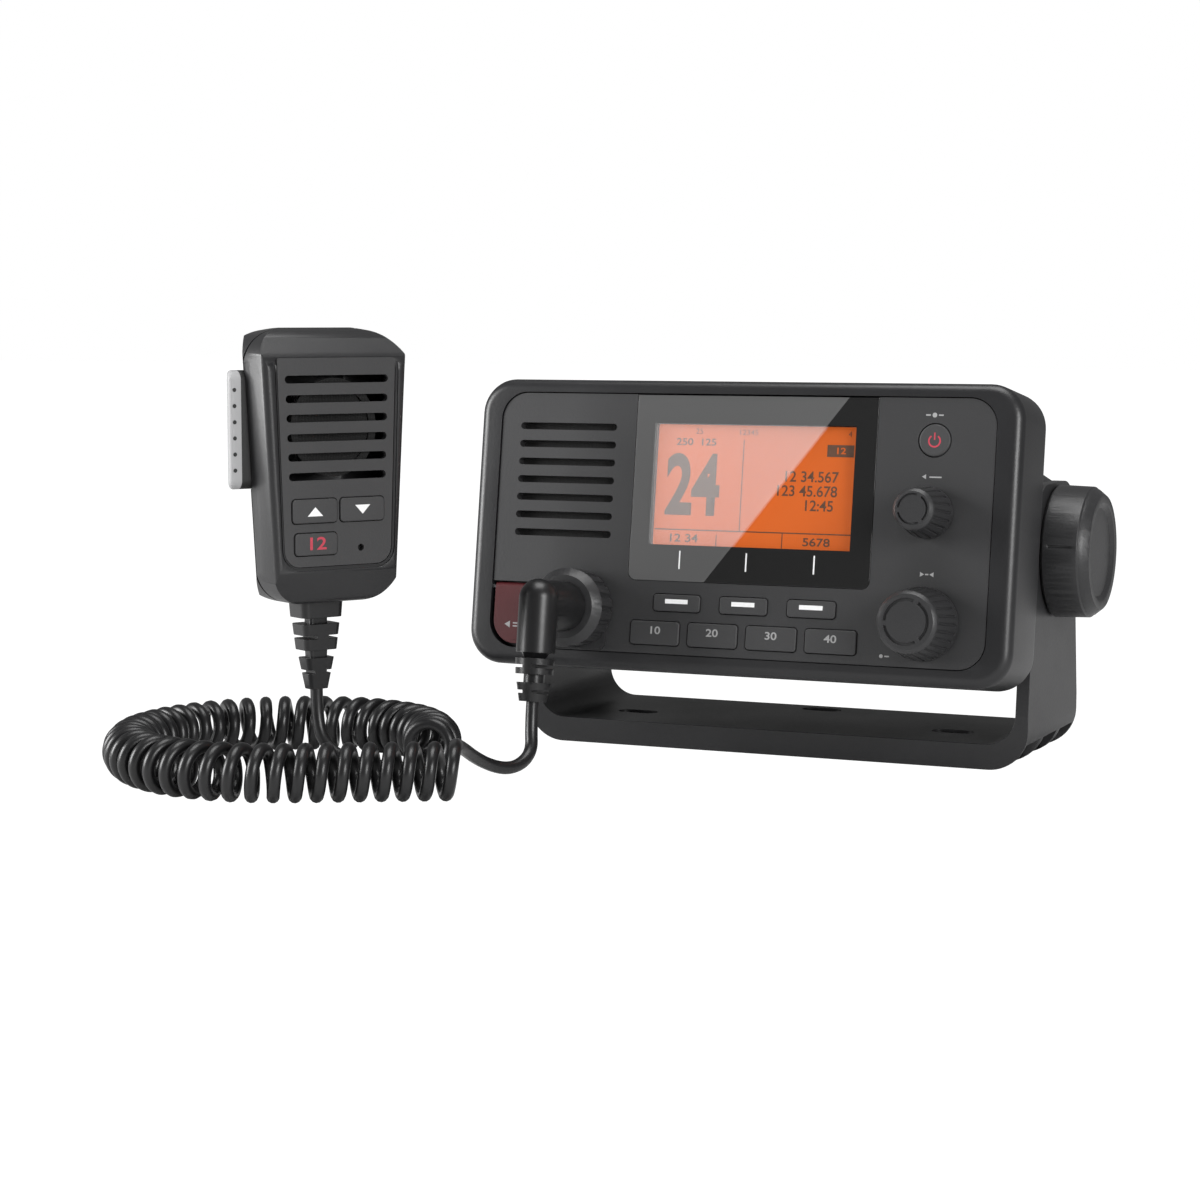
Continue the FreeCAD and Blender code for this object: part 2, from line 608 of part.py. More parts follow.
# Turn-and-push dials
def dial(x, z, base_r, tip_r, length):
    back = FACE_IN - DIAL_GAP - DIAL_PRESS
    front = back - length
    lip = DIAL_LIP
    hollow = SHAFT_R + BUSH_WALL + 0.6
    bore = SHAFT_R + 0.01
    profile = [(back, hollow), (back, base_r), (back - length * 0.2, base_r), (front + lip, tip_r),
               (front, tip_r - lip), (front, 0), (front + 2.2, 0), (front + 2.2, bore),
               (back - 2.2, bore), (back - 2.2, hollow)]
    body = turned(profile, (x, 0, z), (0, 1, 0))
    count = int(base_r * 2.6)
    flutes = []
    slope = (base_r - tip_r) / (length * 0.8 - lip)
    for i in range(count):
        a = 2 * math.pi * i / count
        reach = base_r + DIAL_FLUTE_R * 0.35
        foot = Vector(x + reach * math.cos(a), back - length * 0.2 + 0.6, z + reach * math.sin(a))
        lean = Vector(-slope * math.cos(a), -1, -slope * math.sin(a))
        flutes.append(Part.makeCylinder(DIAL_FLUTE_R, length * 0.72, foot, lean))
    body = body.cut(flutes)
    ring_r = tip_r * 0.66
    ring_out = ring_r + tip_r * 0.1
    ring = turned([(front - 1, ring_r), (front - 1, ring_out), (front + 0.6, ring_out), (front + 0.6, ring_r)],
                  (x, 0, z), (0, 1, 0))
    bridges = []
    for i in range(3):
        bar = box(x - 0.7, x + 0.7, front - 2, front + 2, z, z + tip_r)
        bar.rotate(Vector(x, 0, z), Vector(0, 1, 0), 120 * i + 25)
        bridges.append(bar)
    return body.cut(ring.cut(bridges))


def dial_shaft(x, z, length):
    tip = FACE_IN - DIAL_GAP - DIAL_PRESS - length + 2.3
    return rod((x, tip, z), (0, 1, 0), SHAFT_R, BOARD_Y - 0.02 - tip)


def dial_plunger(x, z):
    return rod((x, BOARD_Y, z), (0, 1, 0), SHAFT_R - 0.03, BOARD_T + 0.8)


def dial_bushes():
    out = []
    for x, z in ((VOLUME_X, VOLUME_Z), (SELECT_X, SELECT_Z)):
        reach = ENCODER_W / 2
        case = box(x - reach, x + reach, KEY_FLANGE_Y, BOARD_Y, z - reach, z + reach)
        neck_l = KEY_FLANGE_Y - FACE_IN + BUSH_PROUD + 1
        neck = rod((x, FACE_IN - BUSH_PROUD, z), (0, 1, 0), SHAFT_R + BUSH_WALL, neck_l)
        bore = rod((x, FACE_IN - BUSH_PROUD - 1, z), (0, 1, 0), SHAFT_R + RUN_FIT, 30)
        out.append(joined([case, neck]).cut(bore))
    return Part.makeCompound(out)


# Distress key under its sprung door
def distress_cover():
    y0 = FACE_IN
    top = DOOR_HINGE_Z
    corners = [(DOOR_X0, DOOR_Z0), (DOOR_X1, DOOR_Z0), (DOOR_X1, top), (DOOR_X0, top)]
    door = slab(corners, [DOOR_R, 0.8, 0, 0], y0, y0 + DOOR_T)
    barrel = rod((DOOR_X0, DOOR_PIN_Y, top), (1, 0, 0), DOOR_BARREL_R, DOOR_W)
    grip = slot_bar(DOOR_X0 + DOOR_R * 0.9, DOOR_X1 - 2, DOOR_Z0 + 1.6, 0.9, y0 - 0.5, y0 + 0.5)
    bore = rod((DOOR_X0 - 1, DOOR_PIN_Y, top), (1, 0, 0), DOOR_PIN_R + RUN_FIT, DOOR_W + 2)
    return joined([door, barrel, grip]).cut(bore)


def distress_pin():
    length = DOOR_W + DOOR_PIN_SEAT * 2
    return rod((DOOR_X0 - DOOR_PIN_SEAT, DOOR_PIN_Y, DOOR_HINGE_Z), (1, 0, 0), DOOR_PIN_R, length)


def distress_key():
    place = (DISTRESS_X, DISTRESS_Z, DISTRESS_KEY_W, DISTRESS_KEY_H)
    floor_back = PLATE_BACK + DISTRESS_FLOOR_T
    back = floor_back + KEY_FLANGE_T
    cap = pad(*place, 0, 0.8, FACE_IN + DOOR_T + 0.35, back)
    flange = pad(*place, KEY_FLANGE, 0.8, floor_back + GLUE_GAP, back)
    return joined([cap, flange])


# Handset socket, its plug and the bend relief
def mic_socket():
    front = FACE_IN - SOCKET_PROUD
    back = PLATE_BACK + 6
    flange_r = SOCKET_R + SOCKET_FLANGE
    bore = SOCKET_R - SOCKET_WALL
    profile = [(front, bore), (front, SOCKET_R), (PLATE_BACK, SOCKET_R), (PLATE_BACK, flange_r),
               (PLATE_BACK + 2.5, flange_r), (PLATE_BACK + 2.5, SOCKET_R), (back, SOCKET_R), (back, 0),
               (back - 2, 0), (back - 2, bore)]
    body = turned(profile, (SOCKET_X, 0, SOCKET_Z), (0, 1, 0))
    shoe_z = SOCKET_Z - RING_R - 0.2
    shoe = plate(SOCKET_X - 9.2, SOCKET_X + 9.2, shoe_z, SOCKET_Z, 1.5, FACE_IN - 1.0, FACE_IN)
    shoe = shoe.cut(rod((SOCKET_X, FACE_IN - 3, SOCKET_Z), (0, 1, 0), SOCKET_R - 0.5, 6))
    return joined([body, shoe])


def coupling_ring():
    front = FACE_IN - RING_GAP - RING_L
    back = FACE_IN - RING_GAP
    shoulder = FACE_IN - SOCKET_PROUD - 0.3
    profile = [(back, SOCKET_R + RUN_FIT), (back, RING_R - 0.5), (back - 0.5, RING_R), (front + 2.4, RING_R),
               (front, RING_R - 2.2), (front, PLUG_R + RUN_FIT), (shoulder, PLUG_R + RUN_FIT),
               (shoulder, SOCKET_R + RUN_FIT)]
    body = turned(profile, (SOCKET_X, 0, SOCKET_Z), (0, 1, 0))
    notches = []
    for i in range(RING_NOTCHES):
        a = 2 * math.pi * i / RING_NOTCHES
        reach = RING_R + 0.2
        foot = (SOCKET_X + reach * math.cos(a), back + 0.1, SOCKET_Z + reach * math.sin(a))
        notches.append(rod(foot, (0, -1, 0), RING_NOTCH_R, RING_L - 2.4))
    return body.cut(notches)


def plug_elbow():
    axis_y = FACE_Y - ELBOW_OUT
    seat_y = FACE_IN - SOCKET_PROUD
    step_y = axis_y + ELBOW_THROAT
    nose = rod((SOCKET_X, seat_y, SOCKET_Z), (0, 1, 0), SOCKET_R - SOCKET_WALL - GLUE_GAP, PLUG_NOSE_L)
    barrel = rod((SOCKET_X, step_y, SOCKET_Z), (0, 1, 0), PLUG_R, seat_y - step_y)
    throat = cone((SOCKET_X, step_y, SOCKET_Z), (0, -1, 0), PLUG_R, ELBOW_R, ELBOW_THROAT)
    dome_z = SOCKET_Z + PLUG_R - ELBOW_R
    dome = Part.makeSphere(ELBOW_R, Vector(SOCKET_X, axis_y, dome_z))
    down = rod((SOCKET_X, axis_y, PLUG_BOOT_TOP), (0, 0, 1), ELBOW_R, dome_z - PLUG_BOOT_TOP)
    return joined([nose, barrel, throat, dome, down])


def plug_boot():
    axis_y = FACE_Y - ELBOW_OUT
    top = PLUG_BOOT_TOP
    neck = WIRE_R + 1.2
    profile = [(0, 0), (0, neck + 1), (-1.7, neck), (-1.7, ELBOW_R), (-6.3, ELBOW_R * 0.96), (-6.3, neck),
               (-8.7, neck), (-8.7, ELBOW_R * 0.88), (-PLUG_BOOT_L, ELBOW_R * 0.7), (-PLUG_BOOT_L, 0)]
    body = turned(profile, (SOCKET_X, axis_y, top), (0, 0, 1))
    cuts = []
    for z in (-4.0, -11.4):
        for side in (-1, 1):
            cuts.append(box(SOCKET_X + side * 5 - 3.6, SOCKET_X + side * 5 + 3.6, axis_y - 8, axis_y + 8,
                            top + z - 0.45, top + z + 0.45))
    return body.cut(cuts)


# Die-cast rear housing with fins, side bosses and board posts
def rear_housing():
    front = BEZEL_BACK
    rear = HOUSING_REAR
    drop = (rear - front) * math.tan(math.radians(HOUSING_DRAFT))
    body = tapered(HOUSING_HALF, HOUSING_TOP, HOUSING_BOTTOM, HOUSING_R, front - FLANGE_T, rear, drop)
    flange_x = BEZEL_W / 2 - BEZEL_WALL - PLAY
    flange_z = BEZEL_H / 2 - BEZEL_WALL - PLAY
    flange = plate(-flange_x, flange_x, -flange_z, flange_z, BEZEL_R - BEZEL_WALL - PLAY, front - FLANGE_T, front)
    bosses = []
    for side in (-1, 1):
        reach = ARM_IN - WASHER_T - PLAY
        bosses.append(rod((side * (HOUSING_HALF - 8), 0, 0), (side, 0, 0), BOSS_R, reach - HOUSING_HALF + 8))
    fins = []
    z1 = HOUSING_TOP - drop - 3
    z0 = HOUSING_BOTTOM + drop + 3
    for side in (-1, 1):
        for i in range(FIN_COUNT):
            x = side * (FIN_PITCH * (i + 0.5) + 8)
            fins.append(box(x - FIN_T / 2, x + FIN_T / 2, rear - 40, rear, z1 - 1, HOUSING_TOP - 2.6))
        inner_x = [5 + REAR_FIN_PITCH * i for i in range(4)]
        for x in inner_x + [ANTENNA_X + 13, ANTENNA_X + 13 + REAR_FIN_PITCH]:
            x *= side
            fins.append(box(x - FIN_T / 2, x + FIN_T / 2, rear - 1, rear + FIN_H, z0, z1))
    body = joined([body, flange] + bosses + fins)
    wall = HOUSING_WALL
    cavity = tapered(HOUSING_HALF - wall, HOUSING_TOP - wall, HOUSING_BOTTOM + wall, HOUSING_R - wall + 1,
                     front - FLANGE_T - 1, rear - wall, drop)
    posts = []
    for x in (-1, 1):
        for y in (-20, 48):
            posts.append(rod((x * 52, y, HOUSING_BOTTOM), (0, 0, 1), 3.0, MAIN_BOARD_Z - HOUSING_BOTTOM))
    seat_x = HOUSING_HALF - wall - 6
    seats = [rod((side * seat_x, 0, 0), (side, 0, 0), BOSS_R - 3, 7) for side in (-1, 1)]
    body = body.cut(cavity.cut(joined(seats))).fuse([p.common(cavity) for p in posts])
    cuts = []
    for side in (-1, 1):
        start = ARM_IN - WASHER_T - PLAY + 1
        cuts.append(rod((side * start, 0, 0), (-side, 0, 0), INSERT_R + 0.02, INSERT_L + 1))
        cuts.append(rod((side * start, 0, 0), (-side, 0, 0), STUD_R + 0.3, 16))
    cuts.append(rod((ANTENNA_X, rear - wall - 1, 0), (0, 1, 0), ANTENNA_R - 1.4, wall + FIN_H + 2))
    cuts.append(rod((POWER_IN_X, rear - wall - 1, 0), (0, 1, 0), POWER_IN_R - 1.4, wall + FIN_H + 2))
    for x, z in screw_places():
        cuts.append(rod((x, front - FLANGE_T - 1, z), (0, 1, 0), SCREW_R + 0.3, FLANGE_T + 2))
    return body.cut(cuts)


def tapered(half_w, top, bottom, r, y0, y1, drop):
    """A rounded block that narrows towards the back on every side."""
    wires = []
    for y, shrink in ((y0, 0), (y1, drop)):
        half = half_w - shrink * 0.3
        corners = [(-half, bottom + shrink), (half, bottom + shrink), (half, top - shrink), (-half, top - shrink)]
        wire = rounded_outline(corners, [r] * 4)
        wire.translate(Vector(0, y, 0))
        wires.append(wire)
    return Part.makeLoft(wires, True, True)


def front_gasket():
    x = BEZEL_W / 2 - BEZEL_WALL - PLAY
    z = BEZEL_H / 2 - BEZEL_WALL - PLAY
    w = GASKET_W
    y1 = BEZEL_BACK - FLANGE_T
    y0 = y1 - GASKET_T
    ring = plate(-x, x, -z, z, BEZEL_R - BEZEL_WALL - PLAY, y0, y1)
    hole = plate(-x + w, x - w, -z + w, z - w, BEZEL_R - BEZEL_WALL - w, y0 - 1, y1 + 1)
    lugs = []
    holes = []
    for sx, sz in screw_places():
        lug = rod((sx, y0, sz), (0, 1, 0), SCREW_R + SCREW_POST_WALL - PLAY, GASKET_T)
        lugs.append(lug.common(ring))
        holes.append(rod((sx, y0 - 1, sz), (0, 1, 0), SCREW_R + 0.2, GASKET_T + 2))
    return joined([ring.cut(hole)] + lugs).cut(holes)


def housing_screws():
    out = []
    for x, z in screw_places():
        shank = rod((x, BEZEL_BACK - SCREW_L, z), (0, 1, 0), SCREW_R - 0.02, SCREW_L + 0.5)
        head = rod((x, BEZEL_BACK, z), (0, 1, 0), SCREW_HEAD_R, SCREW_HEAD_H)
        hexagon = regular_prism((x, BEZEL_BACK + 0.8, z), (0, 1, 0), 1.3, 2, 6)
        out.append(joined([shank, head]).cut(hexagon))
    return Part.makeCompound(out)


def regular_prism(start, axis, r, length, sides):
    step = 2 * math.pi / sides
    points = [Vector(r * math.cos(step * i), r * math.sin(step * i), 0) for i in range(sides + 1)]
    prism = Part.Face(Part.makePolygon(points)).extrude(Vector(0, 0, length))
    prism.Placement = Placement(Vector(*start), Rotation(Vector(0, 0, 1), Vector(*axis)))
    return prism


def main_board():
    half = HOUSING_HALF - HOUSING_WALL - 2.5
    top = MAIN_BOARD_Z + BOARD_T
    board = box(-half, half, BEZEL_BACK + 2, HOUSING_REAR - HOUSING_WALL - 1.5, MAIN_BOARD_Z, top)
    chips = [box(-20, -4, 5, 21, top, top + 2.5), box(-50, -36, -18, -2, top, top + 9),
             box(-30, -22, -22, -6, top, top + 6)]
    return joined([board] + chips)


def rf_shield():
    z = MAIN_BOARD_Z + BOARD_T
    right = HOUSING_HALF - HOUSING_WALL - 7.5
    rear = HOUSING_REAR - HOUSING_WALL - 4
    wall = 0.8
    inside = box(6 + wall, right - wall, 8 + wall, rear - wall, z - 1, z + 11 - wall)
    return box(6, right, 8, rear, z, z + 11).cut(inside)


def side_inserts():
    out = []
    start = ARM_IN - WASHER_T - PLAY
    for side in (-1, 1):
        sleeve = rod((side * start, 0, 0), (-side, 0, 0), INSERT_R, INSERT_L)
        out.append(sleeve.cut(rod((side * (start + 1), 0, 0), (-side, 0, 0), STUD_R + 0.04, INSERT_L + 2)))
    return Part.makeCompound(out)


def friction_washers():
    out = []
    for side in (-1, 1):
        disc = rod((side * (ARM_IN - WASHER_T - PLAY), 0, 0), (side, 0, 0), WASHER_R, WASHER_T)
        out.append(disc.cut(rod((side * (ARM_IN - 5), 0, 0), (side, 0, 0), STUD_HOLE_R, 10)))
    return Part.makeCompound(out)


# Clamp knob and its stud: side is +1 on the right
def clamp_knob(side):
    start = BRACKET_W / 2 + PLAY
    end = start + KNOB_L
    profile = [(start, 0), (start, KNOB_R - 1.0), (start + 1.0, KNOB_R), (end - 3.2, KNOB_R * 0.985),
               (end - 2.8, KNOB_R * 0.96), (end - 2.2, KNOB_R * 0.95), (end, KNOB_R * 0.86),
               (end - 0.1, KNOB_RECESS_R), (end - KNOB_RECESS, KNOB_RECESS_R - 1.4), (end - KNOB_RECESS, 0)]
    body = turned(profile, (0, 0, 0), (1, 0, 0))
    bore = rod((start - 1, 0, 0), (1, 0, 0), STUD_R, 9)
    mark = box(start + 2.4, end - 5, -KNOB_R - 1, -KNOB_R + 0.5, -0.4, 0.4)
    body = body.cut([bore, mark])
    return body if side > 0 else body.mirror(Vector(0, 0, 0), Vector(1, 0, 0))


def clamp_stud(side):
    start = BRACKET_W / 2 + PLAY + 8
    inner = ARM_IN - WASHER_T - INSERT_L - 1
    return rod((side * start, 0, 0), (-side, 0, 0), STUD_R, start - inner)


# Rear sockets
def antenna_socket():
    base = HOUSING_REAR
    root = base - HOUSING_WALL - 2
    profile = [(root, 0), (root, ANTENNA_R - 1.5), (base, ANTENNA_R - 1.5),
               (base, ANTENNA_R + 2.6), (base + 2.2, ANTENNA_R + 2.6), (base + 2.2, ANTENNA_R),
               (base + ANTENNA_L, ANTENNA_R), (base + ANTENNA_L, ANTENNA_BORE_R), (base + 4, ANTENNA_BORE_R),
               (base + 4, 1.9), (base + ANTENNA_L - 3, 1.9), (base + ANTENNA_L - 3, 1.2), (base + 2, 1.2),
               (base + 2, 0)]
    return turned(profile, (ANTENNA_X, 0, 0), (0, 1, 0))


def power_socket():
    base = HOUSING_REAR
    root = base - HOUSING_WALL - 2
    end = base + POWER_IN_L
    profile = [(root, 0), (root, POWER_IN_R - 1.5), (base, POWER_IN_R - 1.5), (base, POWER_IN_R + 1.6),
               (base + 1.8, POWER_IN_R + 1.6), (base + 1.8, POWER_IN_R), (end, POWER_IN_R),
               (end, POWER_IN_R - 1.8), (base + 1, POWER_IN_R - 1.8), (base + 1, 0)]
    body = turned(profile, (POWER_IN_X, 0, 0), (0, 1, 0))
    pins = []
    for i in range(4):
        a = math.pi / 4 + i * math.pi / 2
        pins.append(rod((POWER_IN_X + 3.2 * math.cos(a), base + 0.5, 3.2 * math.sin(a)), (0, 1, 0), 0.8, 5))
    return joined([body] + pins)


# Handset shells: a tapering section, trimmed by the front and side outlines
def handset_block(inset):
    top = HS_TOP - inset
    bottom = HS_BOTTOM + inset
    half_top = HS_HALF_W - inset
    half_low = handset_half(HS_BOTTOM) - inset
    crown = half_top * 0.4
    front = [(-half_low, bottom), (half_low, bottom), (half_top, top - 3), (crown, top), (-crown, top),
             (-half_top, top - 3)]
    low_r = HS_LOW_R - inset
    top_r = HS_TOP_R - inset
    body = slab(front, [low_r, low_r, top_r, 25, 25, top_r], -5, HS_THICK + 5)
    thick = HS_THICK - inset
    side = [(inset, -54.0 + inset * 0.4), (inset + 3.5, bottom), (thick - 4, bottom), (thick - 1.0, bottom + 12),
            (thick, -8), (thick - 1.5, top - 1), (inset + 9, top), (inset, top - 9.5)]
    profile = slab(side, [6, 3, 7, 14, 40, 6.5 - inset, 9 - 2 * inset, 8], -HS_HALF_W - 5, HS_HALF_W + 5)
    profile.rotate(Vector(0, 0, 0), Vector(0, 0, 1), 90)
    wires = []
    for z in (HS_BOTTOM - 4, HS_TOP + 4):
        half = handset_half(z) - inset
        face = half - HS_FACE_SET
        back = half - HS_BACK_SET
        corners = [(-face, inset), (face, inset), (half, HS_SIDE_Y), (half, HS_SIDE_Y + 4), (back, thick),
                   (-back, thick), (-half, HS_SIDE_Y + 4), (-half, HS_SIDE_Y)]
        wire = rounded_outline(corners, [2.2, 2.2, 6, 7, 8, 8, 7, 6])
        wire.rotate(Vector(0, 0, 0), Vector(1, 0, 0), -90)
        wire.translate(Vector(0, 0, z))
        wires.append(wire)
    return Part.makeLoft(wires, True, True).common(body).common(profile)


def handset_half(z):
    return HS_HALF_W - (HS_TOP - z) * math.tan(math.radians(HS_TAPER))


def handset_shells():
    outer = handset_block(0)
    inner = handset_block(HS_WALL)
    seal = handset_block(HS_SEAL_SET)
    y0 = HS_SPLIT_Y
    y1 = HS_SPLIT_Y + HS_SEAL_T
    reach = 60
    front_half = box(-reach, reach, -1, y0, -100, 50)
    back_half = box(-reach, reach, y1, 60, -100, 50)
    seam = box(-reach, reach, y0, y1, -100, 50)
    front = outer.common(front_half).cut(inner)
    back = outer.common(back_half).cut(inner)
    ring = seal.common(seam).cut([inner, ptt_pocket()])
    return front, back, ring, inner


def panel_outline(grow, y0, y1):
    corners = [(-PANEL_HALF_LOW - grow, PANEL_LOW - grow), (PANEL_HALF_LOW + grow, PANEL_LOW - grow),
               (PANEL_HALF_TOP + grow, PANEL_TOP), (-PANEL_HALF_TOP - grow, PANEL_TOP)]
    return slab(corners, [PANEL_R + grow, PANEL_R + grow, 1.0, 1.0], y0, y1)


def handset_key_places():
    return ((-CHANNEL_KEY_X, CHANNEL_KEY_Z, CHANNEL_KEY_W, CHANNEL_KEY_H),
            (CHANNEL_KEY_X, CHANNEL_KEY_Z, CHANNEL_KEY_W, CHANNEL_KEY_H),
            (RECALL_KEY_X, RECALL_KEY_Z, RECALL_KEY_W, RECALL_KEY_H))


def handset_cuts(deep):
    cuts = []
    for i in range(HS_SLOT_COUNT):
        half = HS_SLOT_HALF - i * HS_SLOT_TAPER
        cuts.append(slot_bar(-half, half, -i * HS_SLOT_PITCH, HS_SLOT_H, -1, deep))
    for x, z, w, h in handset_key_places():
        cuts.append(pad(x, z, w, h, KEY_GAP, 1.4, -1, deep))
    cuts.append(rod((MIC_X, -1, MIC_Z), (0, 1, 0), MIC_R, deep + 1))
    return cuts


def handset_front(shell):
    groove = panel_outline(1.2, -1, 0.5).cut(panel_outline(0.5, -2, 2))
    recess = panel_outline(PANEL_GAP, -1, PANEL_T)
    return shell.cut([groove, recess, ptt_pocket()] + handset_cuts(HS_WALL + 3))


def handset_panel():
    return panel_outline(0, 0.1, PANEL_T - 0.02).cut(handset_cuts(HS_WALL + 3))


def handset_key(x, z, w, h):
    cap = pad(x, z, w, h, 0, 1.2, -0.4, HS_WALL + 1.1)
    rim = [e for e in cap.Edges if all(abs(v.Y + 0.4) < 1e-4 for v in e.Vertexes)]
    cap = cap.makeFillet(0.3, rim)
    grow_left = 0.6 if x < 0 or w != CHANNEL_KEY_W else 0.0
    grow_right = 0.6 if x > 0 or w != CHANNEL_KEY_W else 0.0
    flange = plate(x - w / 2 - grow_left, x + w / 2 + grow_right, z - h / 2 - 0.6, z + h / 2 + 0.6, 0.5,
                   HS_WALL + GLUE_GAP, HS_WALL + 1.1)
    return joined([cap, flange])


def ptt_block(grow, x0, x1):
    """The section of the push-to-talk bar, long in z, from x0 to x1."""
    bar = plate(PTT_FRONT - grow, PTT_FRONT + PTT_W + grow, PTT_LOW - grow, PTT_TOP + grow,
                PTT_W * 0.3 + grow, 0, x1 - x0)
    bar.rotate(Vector(0, 0, 0), Vector(0, 0, 1), 90)
    bar.translate(Vector(x1, 0, 0))
    return bar


def ptt_pocket():
    """The bar's opening in the shells, deep enough for its travel."""
    return ptt_block(PTT_GAP, -PTT_OUT - PTT_CLEAR, PTT_IN + PTT_TRAVEL + PTT_GAP)


def ptt_button():
    """The bar itself, its outer face slanting to the back."""
    bar = ptt_block(0, -PTT_OUT, PTT_IN)
    lean = math.degrees(math.atan(PTT_SLANT / PTT_W))
    off = box(-PTT_OUT - 20, -PTT_OUT, PTT_FRONT - 5, PTT_FRONT + 30, PTT_LOW - 5, PTT_TOP + 5)
    off.rotate(Vector(-PTT_OUT, PTT_FRONT, 0), Vector(0, 0, 1), -lean)
    bar = bar.cut(off)
    outer = [e for e in bar.Edges if all(v.X < PTT_IN - 3 for v in e.Vertexes)]
    return bar.makeFillet(PTT_ROUND, outer)


def handset_speaker():
    z = -(HS_SLOT_COUNT - 1) * HS_SLOT_PITCH / 2
    y0 = HS_WALL + 0.2
    profile = [(y0, HS_SPEAKER_R), (y0 + 1.6, HS_SPEAKER_R), (y0 + HS_SPEAKER_T, HS_SPEAKER_R * 0.5),
               (y0 + HS_SPEAKER_T, 0), (y0 + 2.0, 0), (y0 + 0.8, HS_SPEAKER_R * 0.84), (y0, HS_SPEAKER_R * 0.84)]
    return turned(profile, (0, 0, z), (0, 1, 0))


def handset_board():
    y0 = HS_WALL + 1.1 + KEY_TRAVEL + 0.1
    board = plate(-15.6, 15.6, -52.4, -33, 1.0, y0, y0 + BOARD_T)
    capsule = rod((MIC_X, HS_WALL + GLUE_GAP, MIC_Z), (0, 1, 0), MIC_CAPSULE_R, y0 - HS_WALL - GLUE_GAP)
    return joined([board, capsule])


def hang_button():
    base = HS_THICK - 0.5
    tip = base + HANG_L
    profile = [(base - 3, 0), (base - 3, HANG_NECK_R), (tip - 2.2, HANG_NECK_R), (tip - 2.2, HANG_R),
               (tip - 0.6, HANG_R), (tip, HANG_R - 0.8), (tip, 0)]
    return turned(profile, (0, 0, HANG_Z), (0, 1, 0))


def handset_screws():
    out = []
    for x, z, y1 in HS_SCREW_PLACES:
        shank = rod((x, HS_SPLIT_Y - 3, z), (0, 1, 0), HS_SCREW_R, y1 - HS_SPLIT_Y + 3)
        head = rod((x, y1 - 1.6, z), (0, 1, 0), 2.2, 1.6)
        out.append(joined([shank, head]).cut(regular_prism((x, y1 - 0.9, z), (0, 1, 0), 1.0, 2, 6)))
    return Part.makeCompound(out)


def handset_back(shell, inner):
    bosses = []
    holes = [rod((0, HS_THICK - 6, HANG_Z), (0, 1, 0), HANG_NECK_R + 0.02, 8)]
    for x, z, y1 in HS_SCREW_PLACES:
        bosses.append(rod((x, HS_SPLIT_Y + HS_SEAL_T, z), (0, 1, 0), 3.2, HS_THICK).common(inner))
        holes.append(rod((x, HS_SPLIT_Y - 1, z), (0, 1, 0), HS_SCREW_R + 0.05, HS_THICK))
        holes.append(rod((x, y1 - 1.6, z), (0, 1, 0), 2.4, 10))
    return shell.fuse(bosses).cut(holes + [ptt_pocket()])


def front_bosses(inner):
    out = []
    for x, z, y1 in HS_SCREW_PLACES[:2]:
        boss = rod((x, 0, z), (0, 1, 0), 3.0, HS_SPLIT_Y).common(inner)
        out.append(boss.cut(rod((x, HS_SPLIT_Y - 5, z), (0, 1, 0), HS_SCREW_R + 0.02, 10)))
    return out


def handset_boot():
    """Wide ribs and narrow necks in turn: each from z0 to z1, its section shrinking from s0 to s1."""
    top = HS_BOTTOM - BOOT_SINK
    blocks = []
    for z0, z1, s0, s1 in ((0.5, -4.3, 1.0, 0.95), (-4.0, -6.4, 0.42, 0.42), (-6.2, -13.8, 0.88, 0.76),
                           (-13.5, -16.4, 0.42, 0.40), (-16.1, -BOOT_L, 0.66, 0.42)):
        wires = []
        for z, s in ((z0, s0), (z1, s1)):
            w = BOOT_W * s / 2
            d = BOOT_D * s / 2
            corners = [(-w, -d), (w, -d), (w, d), (-w, d)]
            wire = rounded_outline(corners, [d * 0.45] * 4)
            wire.rotate(Vector(0, 0, 0), Vector(1, 0, 0), -90)
            wire.translate(Vector(0, BOOT_Y, top + z))
            wires.append(wire)
        blocks.append(Part.makeLoft(wires, True, True))
    body = joined(blocks)
    cuts = []
    for z in (-10.0, -20.2):
        for side in (-1, 1):
            cuts.append(box(side * 5.5 - 3.6, side * 5.5 + 3.6, 0, 30, top + z - 0.5, top + z + 0.5))
    return body.cut(cuts)


# The curly cord: its axis lies on the floor as one straight stretch and three arcs
def coil_axis():
    """Points, headings and running lengths along the coil's axis, every half millimetre."""
    x, y = COIL_X, COIL_Y
    heading = math.radians(COIL_HEADING)
    run = 0.0
    out = [(0.0, x, y, heading)]
    for length, turn in COIL_STRETCHES:
        steps = int(length * 2)
        for _ in range(steps):
            middle = heading + math.radians(turn) / steps / 2
            x += length / steps * math.cos(middle)
            y += length / steps * math.sin(middle)
            heading += math.radians(turn) / steps
            run += length / steps
            out.append((run, x, y, heading))
    return out


def curl_point(axis, t):
    """Centre of the wire after t turns. It starts on top of the coil and ends under it."""
    total = axis[-1][0]
    run = total * t / (CURL_TURNS + 0.5)
    i = min(int(run / total * (len(axis) - 1)), len(axis) - 2)
    while axis[i + 1][0] < run and i < len(axis) - 2:
        i += 1
    while axis[i][0] > run and i > 0:
        i -= 1
    share = (run - axis[i][0]) / (axis[i + 1][0] - axis[i][0])
    x = axis[i][1] + share * (axis[i + 1][1] - axis[i][1])
    y = axis[i][2] + share * (axis[i + 1][2] - axis[i][2])
    heading = axis[i][3] + share * (axis[i + 1][3] - axis[i][3])
    phase = 2 * math.pi * t - math.pi / 2
    out = CURL_R * math.cos(phase)
    up = -CURL_R * math.sin(phase)
    return Vector(x - out * math.sin(heading), y + out * math.cos(heading), CURL_R + WIRE_R + up)


def curl_direction(axis, t):
    last = CURL_TURNS + 0.5
    a = curl_point(axis, max(t - 0.004, 0))
    b = curl_point(axis, min(t + 0.004, last))
    return (b - a).normalize()


